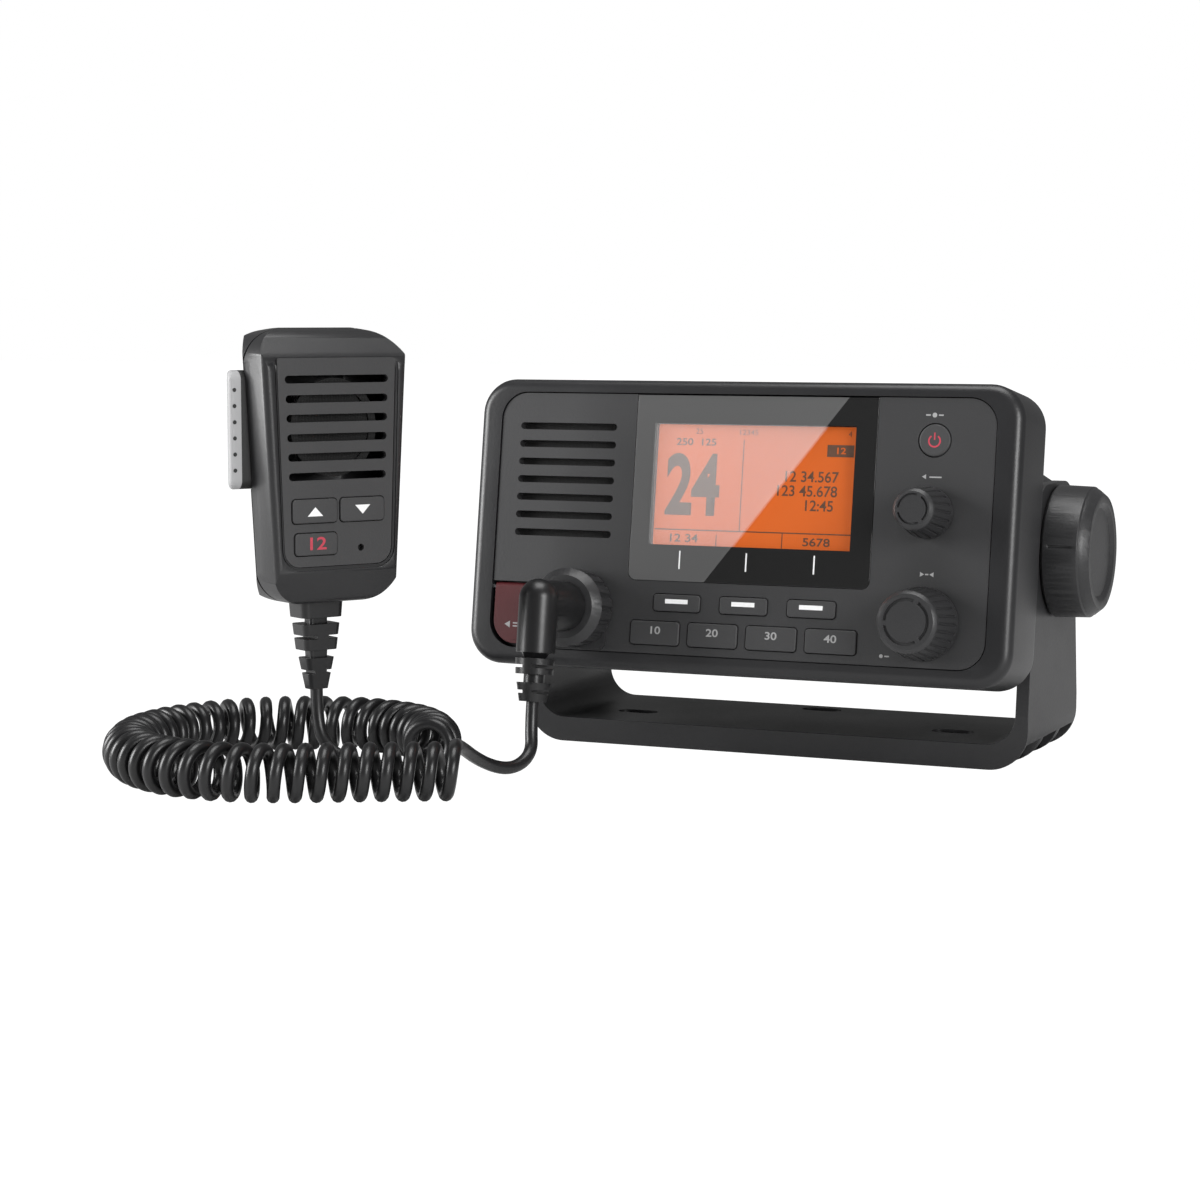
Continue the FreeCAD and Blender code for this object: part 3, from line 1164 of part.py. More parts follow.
def biarc(p0, d0, p1, d1):
    """Two arcs from p0 along d0 to p1 along d1, tangent where they meet."""
    v = p1 - p0
    a = 2 * (d0.dot(d1) - 1)
    b = -2 * v.dot(d0 + d1)
    c = v.dot(v)
    reach = (-b - math.sqrt(b * b - 4 * a * c)) / (2 * a)
    q0 = p0 + d0 * reach
    q1 = p1 - d1 * reach
    meet = (q0 + q1) * 0.5
    return [corner_arc(p0, q0, meet), corner_arc(meet, q1, p1)]


def corner_arc(start, corner, end):
    to_start = (start - corner).normalize()
    to_end = (end - corner).normalize()
    half = to_start.getAngle(to_end) / 2
    reach = (start - corner).Length
    r = reach * math.tan(half)
    middle = (to_start + to_end).normalize()
    return Part.Arc(start, corner + middle * (reach / math.cos(half) - r), end).toShape()


def pipe(wire, start, direction, r):
    ring = Part.Wire(Part.makeCircle(r, start, direction))
    return wire.makePipeShell([ring], True, False)


def coil_cord():
    axis = coil_axis()
    turns = CURL_TURNS + 0.5
    first = curl_point(axis, 0)
    first_dir = curl_direction(axis, 0)
    last = curl_point(axis, turns)
    last_dir = curl_direction(axis, turns)
    edges = [Part.makeLine(first - first_dir * CURL_STRAIGHT, first)]
    count = int(turns * 2)
    points = [curl_point(axis, i / 2) for i in range(count + 1)]
    directions = [curl_direction(axis, i / 2) for i in range(count + 1)]
    for i in range(count):
        edges += biarc(points[i], directions[i], points[i + 1], directions[i + 1])
    edges.append(Part.makeLine(last, last + last_dir * CURL_STRAIGHT))
    wire = Part.Wire(edges)
    solid = pipe(wire, first - first_dir * CURL_STRAIGHT, first_dir, WIRE_R)
    samples = []
    for edge in edges:
        samples += edge.discretize(6)[:-1]
    per_turn = 20
    least = 1e9
    for i, p in enumerate(samples):
        for q in samples[i + per_turn // 2:i + per_turn * 2]:
            least = min(least, (p - q).Length)
    print("coil: wire length %.1f, least gap to itself %.2f" % (wire.Length, least - 2 * WIRE_R))
    section = math.pi * WIRE_R ** 2
    print("coil: volume %.0f, section times length %.0f" % (solid.Volume, wire.Length * section))
    start = first - first_dir * CURL_STRAIGHT
    end = last + last_dir * CURL_STRAIGHT
    return solid, (start, -first_dir), (end, last_dir)


def lead(name, points):
    """A tube along straight runs joined by tangent arcs."""
    edges = []
    here = points[0]
    radii = []
    for i in range(1, len(points) - 1):
        before = points[i] - points[i - 1]
        after = points[i + 1] - points[i]
        turn = before.getAngle(after)
        reach = 0.45 * min(before.Length, after.Length)
        radii.append(reach / math.tan(turn / 2))
        a = points[i] - before.normalize() * reach
        b = points[i] + after.normalize() * reach
        edges.append(Part.makeLine(here, a))
        edges.append(corner_arc(a, points[i], b))
        here = b
    edges.append(Part.makeLine(here, points[-1]))
    wire = Part.Wire(edges)
    first_dir = (points[1] - points[0]).normalize()
    solid = pipe(wire, points[0], first_dir, WIRE_R)
    section = math.pi * WIRE_R ** 2
    print(name, "radii", [round(r, 1) for r in radii], "length %.1f" % wire.Length,
          "volume %.1f" % solid.Volume, "section times length %.1f" % (wire.Length * section))
    return solid


def plug_lead(coil_start, coil_dir):
    seat = radio_seat()
    end = seat.multVec(Vector(SOCKET_X, FACE_Y - ELBOW_OUT, PLUG_BOOT_TOP - PLUG_BOOT_L))
    down = seat.Rotation.multVec(Vector(0, 0, -1))
    points = [end, end + down * 7, Vector(-46.6, -97.0, 7.0), Vector(-49.0, -105.5, 3.6),
              Vector(-54.0, -114.0, 6.6), coil_start + coil_dir * 6, coil_start]
    return lead("plug_lead", points)


def handset_lead(coil_end, coil_dir):
    start = handset_seat().multVec(Vector(0, BOOT_Y, HS_BOTTOM - BOOT_SINK - BOOT_L))
    points = [start, start - Vector(0, 0, 8), start + Vector(2.5, -1.0, -15.5),
              start + Vector(10.0, -0.5, -21.0), coil_end + coil_dir * 7 + Vector(0, 0, 0.1), coil_end]
    return lead("handset_lead", points)


def build():
    os.makedirs("parts", exist_ok=True)
    save("bracket", bracket())
    radio = {
        "front_bezel": front_bezel(),
        "faceplate": faceplate(),
        "display_lens": display_lens(),
        "lcd_module": lcd_module(),
        "keypad_mat": keypad_mat(),
        "front_board": front_board(),
        "speaker": speaker(),
        "speaker_cloth": speaker_cloth(),
        "front_gasket": front_gasket(),
        "rear_housing": rear_housing(),
        "main_board": main_board(),
        "rf_shield": rf_shield(),
        "antenna_socket": antenna_socket(),
        "power_socket": power_socket(),
        "housing_screws": housing_screws(),
        "side_inserts": side_inserts(),
        "friction_washers": friction_washers(),
        "dial_bushes": dial_bushes(),
        "power_key": power_key(),
        "distress_cover": distress_cover(),
        "distress_pin": distress_pin(),
        "distress_key": distress_key(),
        "mic_socket": mic_socket(),
        "coupling_ring": coupling_ring(),
        "plug_elbow": plug_elbow(),
        "plug_boot": plug_boot(),
        "volume_knob": dial(VOLUME_X, VOLUME_Z, VOLUME_BASE_R, VOLUME_TIP_R, VOLUME_L),
        "volume_shaft": dial_shaft(VOLUME_X, VOLUME_Z, VOLUME_L),
        "volume_plunger": dial_plunger(VOLUME_X, VOLUME_Z),
        "select_knob": dial(SELECT_X, SELECT_Z, SELECT_BASE_R, SELECT_TIP_R, SELECT_L),
        "select_shaft": dial_shaft(SELECT_X, SELECT_Z, SELECT_L),
        "select_plunger": dial_plunger(SELECT_X, SELECT_Z),
        "left_knob": clamp_knob(-1),
        "right_knob": clamp_knob(1),
        "left_stud": clamp_stud(-1),
        "right_stud": clamp_stud(1),
    }
    for i, place in enumerate(key_places()):
        soft = i < SOFT_KEY_COUNT
        name = "soft_key_%d" % (i + 1) if soft else "main_key_%d" % (i + 1 - SOFT_KEY_COUNT)
        radio[name] = key(*place)
    for name, shape in radio.items():
        save(name, seated(shape, radio_seat()))
    front, back, ring, inner = handset_shells()
    handset = {
        "handset_front": joined([handset_front(front)] + front_bosses(inner)),
        "handset_back": handset_back(back, inner),
        "handset_seal": ring,
        "handset_panel": handset_panel(),
        "handset_speaker": handset_speaker(),
        "handset_board": handset_board(),
        "hang_button": hang_button(),
        "handset_screws": handset_screws(),
        "handset_boot": handset_boot(),
        "ptt_button": ptt_button(),
    }
    for name, place in zip(("channel_up_key", "channel_down_key", "recall_key"), handset_key_places()):
        handset[name] = handset_key(*place)
    for name, shape in handset.items():
        save(name, seated(shape, handset_seat()))
    coil, start, end = coil_cord()
    save("coil_cord", coil)
    save("plug_lead", plug_lead(*start))
    save("handset_lead", handset_lead(*end))


build()
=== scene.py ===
import json
import math

import bmesh
import bpy
from mathutils import Matrix, Vector


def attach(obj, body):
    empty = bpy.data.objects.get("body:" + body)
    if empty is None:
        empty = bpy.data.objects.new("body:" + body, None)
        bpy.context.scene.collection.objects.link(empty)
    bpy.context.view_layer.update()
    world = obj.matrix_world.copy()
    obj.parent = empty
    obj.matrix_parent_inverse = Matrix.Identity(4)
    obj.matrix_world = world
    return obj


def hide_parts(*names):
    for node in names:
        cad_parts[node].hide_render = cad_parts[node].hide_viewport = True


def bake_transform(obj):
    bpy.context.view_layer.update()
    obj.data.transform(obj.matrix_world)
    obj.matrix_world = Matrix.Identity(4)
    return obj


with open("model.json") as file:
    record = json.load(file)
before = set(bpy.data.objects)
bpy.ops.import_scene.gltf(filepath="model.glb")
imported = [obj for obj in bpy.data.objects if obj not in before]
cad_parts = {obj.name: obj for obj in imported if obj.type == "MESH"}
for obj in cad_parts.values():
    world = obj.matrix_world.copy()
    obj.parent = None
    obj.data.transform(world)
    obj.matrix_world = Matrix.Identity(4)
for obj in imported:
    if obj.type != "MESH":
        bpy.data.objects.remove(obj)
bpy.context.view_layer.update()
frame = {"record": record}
bodyOf = {node: body for body, nodes in frame["record"]["behaviour"]["bodies"].items() for node in nodes}
slotOf = {part["node"]: part["material_slot"] for part in frame["record"]["subparts"]}
mm = 0.001

# The radio's and the handset's own frames, as the solids have them
seatPlan = {"pivot": (0, 0, 63), "tilt": 8.3, "handset": (-95.2, -122.5, 115.2), "turn": 60.4}
radioSeat = (Matrix.Translation([v * mm for v in seatPlan["pivot"]])
             @ Matrix.Rotation(math.radians(-seatPlan["tilt"]), 4, "X"))
handsetSeat = (Matrix.Translation([v * mm for v in seatPlan["handset"]])
               @ Matrix.Rotation(math.radians(seatPlan["turn"]), 4, "Z"))


# Camera and studio
cameraPlan = {"place": (293.6, -804.9, 132.8), "turn": (84.117, 0, 24.233), "lens": 82.555}
camera = bpy.data.objects.new("camera", bpy.data.cameras.new("camera"))
camera.location = Vector(cameraPlan["place"]) * mm
camera.rotation_euler = [math.radians(a) for a in cameraPlan["turn"]]
camera.data.lens = cameraPlan["lens"]
camera.data.sensor_width = 36
camera.data.clip_end = 20
bpy.context.scene.collection.objects.link(camera)
bpy.context.scene.camera = camera
bpy.context.scene.view_settings.view_transform = "Standard"
print("camera placed")


# Shader maths as Python expressions
class Wire:
    def __init__(self, shader, socket):
        self.shader = shader
        self.socket = socket

    def math(self, operation, *values):
        return self.shader.node("ShaderNodeMath", dict(enumerate(values)), operation=operation)

    def __add__(self, other):
        return self.math("ADD", self, other)

    def __sub__(self, other):
        return self.math("SUBTRACT", self, other)

    def __rsub__(self, other):
        return self.math("SUBTRACT", other, self)

    def __mul__(self, other):
        return self.math("MULTIPLY", self, other)

    def __gt__(self, other):
        return self.math("GREATER_THAN", self, other)

    def __lt__(self, other):
        return self.math("LESS_THAN", self, other)


class Shader:
    def __init__(self, name):
        self.material = bpy.data.materials.new(name)
        self.material.use_nodes = True
        self.tree = self.material.node_tree
        self.surface = self.tree.nodes["Principled BSDF"]

    def node(self, kind, inputs=None, output=0, **settings):
        made = self.tree.nodes.new(kind)
        for key, value in settings.items():
            setattr(made, key, value)
        for key, value in (inputs or {}).items():
            self.put(made.inputs[key], value)
        return Wire(self, made.outputs[output])

    def put(self, socket, value):
        if isinstance(value, Wire):
            self.tree.links.new(value.socket, socket)
        else:
            socket.default_value = value

    def set(self, **values):
        for key, value in values.items():
            self.put(self.surface.inputs[key.replace("_", " ")], value)

    def place(self):
        return self.node("ShaderNodeTexCoord", output="Object")

    def axes(self, place=None):
        split = self.node("ShaderNodeSeparateXYZ", {"Vector": place or self.place()})
        return [Wire(self, output) for output in split.socket.node.outputs]

    def noise(self, scale, detail=2.0, place=None):
        return self.node("ShaderNodeTexNoise",
                         {"Vector": place or self.place(), "Scale": scale, "Detail": detail})

    def waves(self, place, scale, direction, distortion=0.0):
        return self.node("ShaderNodeTexWave", {"Vector": place, "Scale": scale, "Distortion": distortion},
                         bands_direction=direction)

    def mix(self, share, first, second):
        made = self.tree.nodes.new("ShaderNodeMix")
        made.data_type = "RGBA"
        self.put(made.inputs["Factor"], share)
        for socket, value in ((made.inputs[6], first), (made.inputs[7], second)):
            self.put(socket, value)
        return Wire(self, made.outputs[2])

    def bump(self, height, strength, distance):
        return self.node("ShaderNodeBump", {"Height": height, "Strength": strength, "Distance": distance})


def rgba(colour, gain=1.0):
    return tuple(c * gain for c in colour) + (1.0,)


# Moulded plastic: fine spark grain, faint cloudy tone, handling polish in the roughness
def moulded(name, colour, rough=0.45, grain=0.25, size=1400, spread=0.12):
    shader = Shader(name)
    place = shader.place()
    cloud = shader.noise(35, 3, place)
    fine = shader.noise(size, 2, place)
    shader.set(Base_Color=shader.mix(cloud, rgba(colour, 1 - spread), rgba(colour, 1 + spread)),
               Roughness=cloud * 0.12 + fine * 0.06 + (rough - 0.09),
               Normal=shader.bump(fine, grain, 0.00012))
    shader.surface.inputs["Specular IOR Level"].default_value = 0.42
    return shader.material


# Turned or rolled metal with fine lines
def metal(name, colour, rough=0.3, lines=900):
    shader = Shader(name)
    place = shader.place()
    stretched = shader.node("ShaderNodeMapping", {"Vector": place, "Scale": (1, 0.08, 1)})
    brushed = shader.noise(lines, 3, stretched)
    shader.set(Base_Color=shader.mix(brushed, rgba(colour, 0.85), rgba(colour, 1.1)), Metallic=1.0,
               Roughness=brushed * 0.15 + (rough - 0.07), Normal=shader.bump(brushed, 0.15, 0.0001))
    return shader.material


finishes = {
    "bracket_plastic": moulded("bracketPlastic", (0.02, 0.02, 0.021), 0.42, 0.35, 1100),
    "case_plastic": moulded("casePlastic", (0.013, 0.013, 0.014), 0.36, 0.2),
    "face_plastic": moulded("facePlastic", (0.026, 0.026, 0.027), 0.5, 0.3),
    "housing_coat": moulded("housingCoat", (0.016, 0.016, 0.017), 0.5, 0.5, 900),
    "knob_plastic": moulded("knobPlastic", (0.022, 0.022, 0.023), 0.4, 0.3),
    "key_rubber": moulded("keyRubber", (0.034, 0.034, 0.035), 0.55, 0.3, 1800),
    "red_plastic": moulded("redPlastic", (0.06, 0.007, 0.009), 0.4, 0.2),
    "cord_jacket": moulded("cordJacket", (0.008, 0.008, 0.0085), 0.34, 0.15, 700),
    "seal_rubber": moulded("sealRubber", (0.006, 0.006, 0.006), 0.75, 0.3),
    "handset_plastic": moulded("handsetPlastic", (0.016, 0.016, 0.017), 0.36, 0.2),
    "panel_plastic": moulded("panelPlastic", (0.034, 0.034, 0.035), 0.46, 0.3),
    "board": moulded("solderMask", (0.02, 0.11, 0.05), 0.4, 0.1),
    "brass": metal("turnedBrass", (0.72, 0.52, 0.25)),
    "steel": metal("plainSteel", (0.55, 0.55, 0.56)),
    "plated": metal("platedMetal", (0.78, 0.78, 0.8), 0.2),
}


def wovenCloth():
    shader = Shader("speakerWeave")
    place = shader.place()
    weave = shader.waves(place, 700.0, "X", 1.0)
    cross = shader.waves(place, 700.0, "Z", 1.0)
    shader.set(Base_Color=shader.mix(weave * cross, rgba((0.004,) * 3), rgba((0.015,) * 3)), Roughness=0.9,
               Normal=shader.bump(weave + cross, 0.4, 0.0002))
    return shader.material


finishes["cloth"] = wovenCloth()

# Push-to-talk bar: black rubber, pale beyond one width of the handset, with grip dots on its forward side
barPlan = {"pale": -25.4, "dots": 6, "across": -27.5, "top": -2.9, "pitch": 4.53, "radius": 0.6, "face": 10.0}


def talkBar():
    shader = Shader("talkBar")
    place = shader.place()
    inverse = handsetSeat.inverted()
    east, north, _ = shader.axes(place)
    pale = east * inverse[0][0] + north * inverse[0][1] + inverse[0][3] < barPlan["pale"] * mm
    fine = shader.noise(1600, 2, place)
    shader.set(Base_Color=shader.mix(pale, rgba((0.012,) * 3), rgba((0.34, 0.34, 0.345))),
               Roughness=fine * 0.1 + 0.5, Normal=shader.bump(fine, 0.3, 0.00012))
    return shader.material


finishes["bar_rubber"] = talkBar()


# Printed marks, a little uneven as pad printing is; a glow above nought is painted light that brightens the
# ink
def printed(name, colour, glow=0.0):
    shader = Shader(name)
    patchy = shader.noise(2500, 2)
    shader.set(Base_Color=shader.mix(patchy, rgba(colour, 0.8), rgba(colour)), Roughness=patchy * 0.2 + 0.45)
    shader.surface.inputs["Emission Color"].default_value = rgba(colour)
    shader.surface.inputs["Emission Strength"].default_value = glow
    return shader.material


# The white and red inks carry a painted glow
whiteInk = printed("whiteInk", (0.75, 0.75, 0.75), 0.15)
greyInk = printed("greyInk", (0.32, 0.32, 0.32))
redInk = printed("redInk", (0.42, 0.035, 0.06), 0.12)
darkInk = printed("darkInk", (0.012, 0.012, 0.012))
segmentInk = printed("segmentInk", (0.11, 0.05, 0.025))

# Display: backlit orange, with a painted highlight that makes it brighter to the left, and the faint lines of
# its dots
displayPlan = {"x": (-27.0, 35.8), "z": (-5.6, 30.4), "tone": (0.62, 0.115, 0.012), "glow": 0.45,
               "fall": -16.0, "middle": 0.4, "dots": 500.0}


def backlight():
    shader = Shader("backlight")
    place = shader.place()
    patch = shader.noise(30, 2, place)
    tone = displayPlan["tone"]
    # Painted highlight: colour and glow rise towards the left
    paintedHighlightRamp = shader.axes(place)[0] * displayPlan["fall"] + displayPlan["middle"]
    share = paintedHighlightRamp + patch * 0.3 + shader.waves(place, displayPlan["dots"], "X") * 0.1
    shader.set(Base_Color=shader.mix(share, rgba(tone, 0.55), rgba(tone, 0.75)), Roughness=0.35,
               Emission_Color=shader.mix(share, rgba(tone, 0.9), rgba(tone, 1.35)))
    shader.surface.inputs["Emission Strength"].default_value = displayPlan["glow"]
    return shader.material


finishes["display"] = backlight()

# Window: black mask round the display, and a painted reflection, a sheen painted over its upper left half
windowPlan = {"paintedSheenFrom": (-8.5, -16.0), "paintedSheenTo": (33.2, 38.7), "mask": 0.011, "paintedSheenMask": 0.085,
              "paintedSheenClear": 0.75, "clear": 0.97, "paintedSheenCover": 0.15}


def windowGlass():
    shader = Shader("windowGlass")
    across, deep, high = shader.axes()
    tilt = math.radians(seatPlan["tilt"])
    up = (high - seatPlan["pivot"][2] * mm) * math.cos(tilt) + deep * math.sin(tilt)
    (x0, z0), (x1, z1) = windowPlan["paintedSheenFrom"], windowPlan["paintedSheenTo"]
    side = (up - z0 * mm) * (x1 - x0) - (across - x0 * mm) * (z1 - z0)
    # Painted reflection: above this diagonal the mask is lighter and the display shows through less
    paintedSheen = side > 0
    (left, right), (low, top) = displayPlan["x"], displayPlan["z"]
    clear = (across > left * mm) * (across < right * mm) * (up > low * mm) * (up < top * mm)
    smear = shader.noise(60, 3)
    mask, paintedSheenMask, paintedSheenClear = (rgba((windowPlan[name],) * 3) for name in ("mask", "paintedSheenMask", "paintedSheenClear"))
    shader.set(Base_Color=shader.mix(paintedSheen, mask, shader.mix(clear, paintedSheenMask, paintedSheenClear)),
               Alpha=1 - clear * (windowPlan["clear"] - paintedSheen * windowPlan["paintedSheenCover"]),
               Roughness=smear * 0.04 + 0.08)
    return shader.material


finishes["window"] = windowGlass()
print("finishes mixed")


# Every solid that can be seen gets a skin: the same shape, merged, with broken edges and smooth curves
skinPlan = {"edge": 0.22, "angle": 32, "flat": 0.6}
fineEdges = {"front_bezel": 0.3, "bracket": 0.5, "rear_housing": 0.4, "left_knob": 0.35, "right_knob": 0.35,
             "handset_front": 0.25, "handset_back": 0.4, "distress_cover": 0.3, "plug_elbow": 0,
             "housing_screws": 0.12, "handset_screws": 0.1, "handset_panel": 0.15, "faceplate": 0.18,
             "coupling_ring": 0.12, "volume_knob": 0.1, "select_knob": 0.1, "display_lens": 0.12,
             "speaker_cloth": 0}
hiddenInside = {"front_board", "main_board", "keypad_mat", "speaker", "handset_speaker", "handset_board"}
darkCones = {"speaker", "handset_speaker", "handset_board"}
wound = {"coil_cord", "plug_lead", "handset_lead"}


def skin(node):
    mesh = bpy.data.objects[node].data.copy()
    shape = bmesh.new()
    shape.from_mesh(mesh)
    bmesh.ops.remove_doubles(shape, verts=shape.verts, dist=2e-6)
    bmesh.ops.dissolve_limit(shape, angle_limit=math.radians(skinPlan["flat"]), verts=shape.verts,
                             edges=shape.edges)
    shape.to_mesh(mesh)
    shape.free()
    mesh.materials.clear()
    mesh.materials.append(finishes[slotOf[node]])
    mesh.shade_smooth()
    mesh.set_sharp_from_angle(angle=math.radians(skinPlan["angle"]))
    piece = bpy.data.objects.new(node + "_skin", mesh)
    bpy.context.scene.collection.objects.link(piece)
    edge = fineEdges.get(node, skinPlan["edge"])
    if edge:
        soften = piece.modifiers.new("soften", "BEVEL")
        soften.width = edge * mm
        soften.segments = 2
        soften.limit_method = "ANGLE"
        soften.angle_limit = math.radians(skinPlan["angle"])
        soften.harden_normals = True
    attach(piece, bodyOf[node])
    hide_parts(node)


for node in sorted(slotOf):
    if node in wound:
        continue
    if node in hiddenInside:
        cad = bpy.data.objects[node]
        cad.data.materials.clear()
        cad.data.materials.append(finishes["cloth" if node in darkCones else slotOf[node]])
        continue
    skin(node)
print("skins fitted")


# Marks: flat ink laid on a face, gathered in one mesh
class Ink:
    def __init__(self):
        self.shape = bmesh.new()

    def bar(self, x0, x1, z0, z1):
        made = bmesh.ops.create_grid(self.shape, x_segments=1, y_segments=1, size=0.5)
        bmesh.ops.scale(self.shape, verts=made["verts"], vec=(x1 - x0, z1 - z0, 1))
        bmesh.ops.translate(self.shape, verts=made["verts"], vec=((x0 + x1) / 2, (z0 + z1) / 2, 0))
        return self

    def polygon(self, x, z, radius, sides, turn=0.0, squeeze=1.0):
        made = bmesh.ops.create_circle(self.shape, cap_ends=True, segments=sides, radius=radius)
        bmesh.ops.rotate(self.shape, verts=made["verts"], cent=(0, 0, 0),
                         matrix=Matrix.Rotation(math.radians(turn), 3, "Z"))
        bmesh.ops.scale(self.shape, verts=made["verts"], vec=(1, squeeze, 1))
        bmesh.ops.translate(self.shape, verts=made["verts"], vec=(x, z, 0))
        return self

    def arc(self, x, z, inner, outer, start, sweep):
        ends = [self.shape.verts.new((inner, 0, 0)), self.shape.verts.new((outer, 0, 0))]
        edge = [self.shape.edges.new(ends)]
        before = set(self.shape.verts) - set(ends)
        bmesh.ops.rotate(self.shape, verts=ends, cent=(0, 0, 0),
                         matrix=Matrix.Rotation(math.radians(start), 3, "Z"))
        bmesh.ops.spin(self.shape, geom=ends + edge, cent=(0, 0, 0), axis=(0, 0, 1),
                       angle=math.radians(sweep), steps=24, use_duplicate=False)
        verts = set(self.shape.verts) - before
        bmesh.ops.translate(self.shape, verts=list(verts), vec=(x, z, 0))
        return self

    def text(self, words, x, z, size, wide=1.0, weight=0.0):
        curve = bpy.data.curves.new("words", "FONT")
        curve.body = words
        curve.size = size
        curve.offset = weight
        curve.align_x = "CENTER"
        curve.align_y = "CENTER"
        holder = bpy.data.objects.new("words", curve)
        bpy.context.scene.collection.objects.link(holder)
        bpy.context.view_layer.update()
        flat = bpy.data.meshes.new_from_object(holder.evaluated_get(bpy.context.evaluated_depsgraph_get()))
        bpy.data.objects.remove(holder)
        flat.transform(Matrix.Translation((x, z, 0)) @ Matrix.Diagonal((wide, 1, 1, 1)))
        self.shape.from_mesh(flat)
        bpy.data.meshes.remove(flat)
        return self

    def lay(self, name, ink, body, seat, depth):
        stand = seat @ Matrix.Translation((0, depth * mm, 0)) @ Matrix.Rotation(math.radians(90), 4, "X")
        mesh = bpy.data.meshes.new(name)
        self.shape.transform(stand @ Matrix.Scale(mm, 4))
        facing = stand.to_3x3() @ Vector((0, 0, 1))
        self.shape.normal_update()
        for face in self.shape.faces:
            if face.normal.dot(facing) < 0:
                face.normal_flip()
        self.shape.to_mesh(mesh)
        self.shape.free()
        mesh.materials.append(ink)
        piece = bpy.data.objects.new(name, mesh)
        bpy.context.scene.collection.objects.link(piece)
        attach(piece, body)


# Depths of the faces that carry ink, from the tilt axis, and how far the keys stand proud of the plate
facePlan = {"face": -57.4, "film": 0.03, "display": -54.18, "figures": 0.05, "badge": 0.09, "keys": 0.5,
            "power": 0.3}
plateFilm = facePlan["face"] - facePlan["film"]
keyFilm = facePlan["face"] - facePlan["keys"] - facePlan["film"]

# Display picture: large channel number, a divider, rows of figures and a strip of two boxes
ink = Ink()
ink.text("24", -15.3, 11.6, 24.5, 0.70, 0.75)
ink.bar(0.1, 0.4, -0.9, 26.2).bar(-26.6, 35.3, -1.0, -0.65)
ink.bar(-7.0, -6.7, -5.4, -2.0).bar(13.6, 13.9, -5.4, -1.0)
for row, (figures, x) in enumerate((("12 34.567", 21.5), ("123 45.678", 20.3), ("12:45", 24.3))):
    ink.text(figures, x, 15.6 - row * 4.2, 4.4, 0.98, 0.06)
ink.text("250  125", -14.8, 25.2, 2.9, 1.25, 0.05).text("25", -14.0, 28.4, 2.3, 1.1)
ink.text("12345", 1.5, 28.3, 2.3, 1.1).text("4", 33.0, 28.3, 2.3)
ink.text("12 34", -17.5, -3.4, 3.3, 1.3, 0.06).text("5678", 24.3, -3.4, 3.3, 1.3, 0.06)
ink.bar(26.2, 34.4, 21.7, 25.2)
ink.lay("displayFigures", segmentInk, "radio", radioSeat, facePlan["display"] - facePlan["figures"])
badge = Ink().text("12", 30.3, 23.4, 2.6, 1.3, 0.05)
badge.lay("displayBadge", finishes["display"], "radio", radioSeat, facePlan["display"] - facePlan["badge"])
print("display drawn")

# Printing on the window, the keys and the plate
keyPlan = {"soft": [-16.8 + 21.0 * i for i in range(3)], "main": [-23.3 + 18.3 * i for i in range(4)],
           "figures": ("10", "20", "30", "40")}
ticks = Ink()
for x in keyPlan["soft"]:
    ticks.bar(x - 0.22, x + 0.22, -12.7, -7.3)
ticks.lay("windowTicks", whiteInk, "radio", radioSeat, plateFilm)
for i, x in enumerate(keyPlan["soft"], 1):
    mark = Ink().bar(x - 3.6, x + 3.6, -23.0, -21.7)
    mark.lay("softMark%d" % i, whiteInk, "soft_key_%d" % i, radioSeat, keyFilm)
for i, (x, figures) in enumerate(zip(keyPlan["main"], keyPlan["figures"]), 1):
    mark = Ink().text(figures, x, -31.2, 3.1, 1.25, 0.05)
    mark.lay("mainMark%d" % i, greyInk, "main_key_%d" % i, radioSeat, keyFilm)
power = Ink().arc(59.4, 26.6, 1.45, 1.9, 125, 290).bar(59.2, 59.6, 26.9, 29.0)
power.lay("powerMark", redInk, "power_key", radioSeat, plateFilm - facePlan["power"])
small = Ink().polygon(59.0, 34.0, 0.7, 24).bar(60.2, 61.6, 33.8, 34.2).bar(56.4, 57.8, 33.8, 34.2)
small.polygon(57.0, 16.4, 0.8, 3, 90).bar(58.4, 62.0, 16.1, 16.5)
small.polygon(57.6, -11.4, 0.8, 3, 150).polygon(60.8, -11.4, 0.8, 3, -30)
small.bar(58.7, 59.7, -11.6, -11.2)
small.polygon(47.0, -35.2, 0.55, 24).bar(48.0, 49.4, -35.4, -35.0)
small.lay("plateMarks", greyInk, "radio", radioSeat, plateFilm)
lift = Ink().polygon(-71.6, -31.4, 1.2, 3, 90)
lift.bar(-70.0, -67.4, -31.2, -30.8).bar(-70.0, -67.4, -32.1, -31.7)
lift.lay("coverMark", greyInk, "distress_cover", radioSeat, plateFilm)
print("panel printed")

# Handset printing
handsetFilm = -0.43
Ink().polygon(-7.8, -37.8, 2.9, 3, 0, 0.6).lay("upMark", whiteInk, "channel_up_key", handsetSeat, handsetFilm)
Ink().polygon(7.8, -36.8, 2.9, 3, 180, 0.6).lay("downMark", whiteInk, "channel_down_key", handsetSeat,
                                                handsetFilm)
Ink().text("12", -7.5, -46.6, 5.0, 1.35, 0.08).lay("recallMark", redInk, "recall_key", handsetSeat,
                                                   handsetFilm)


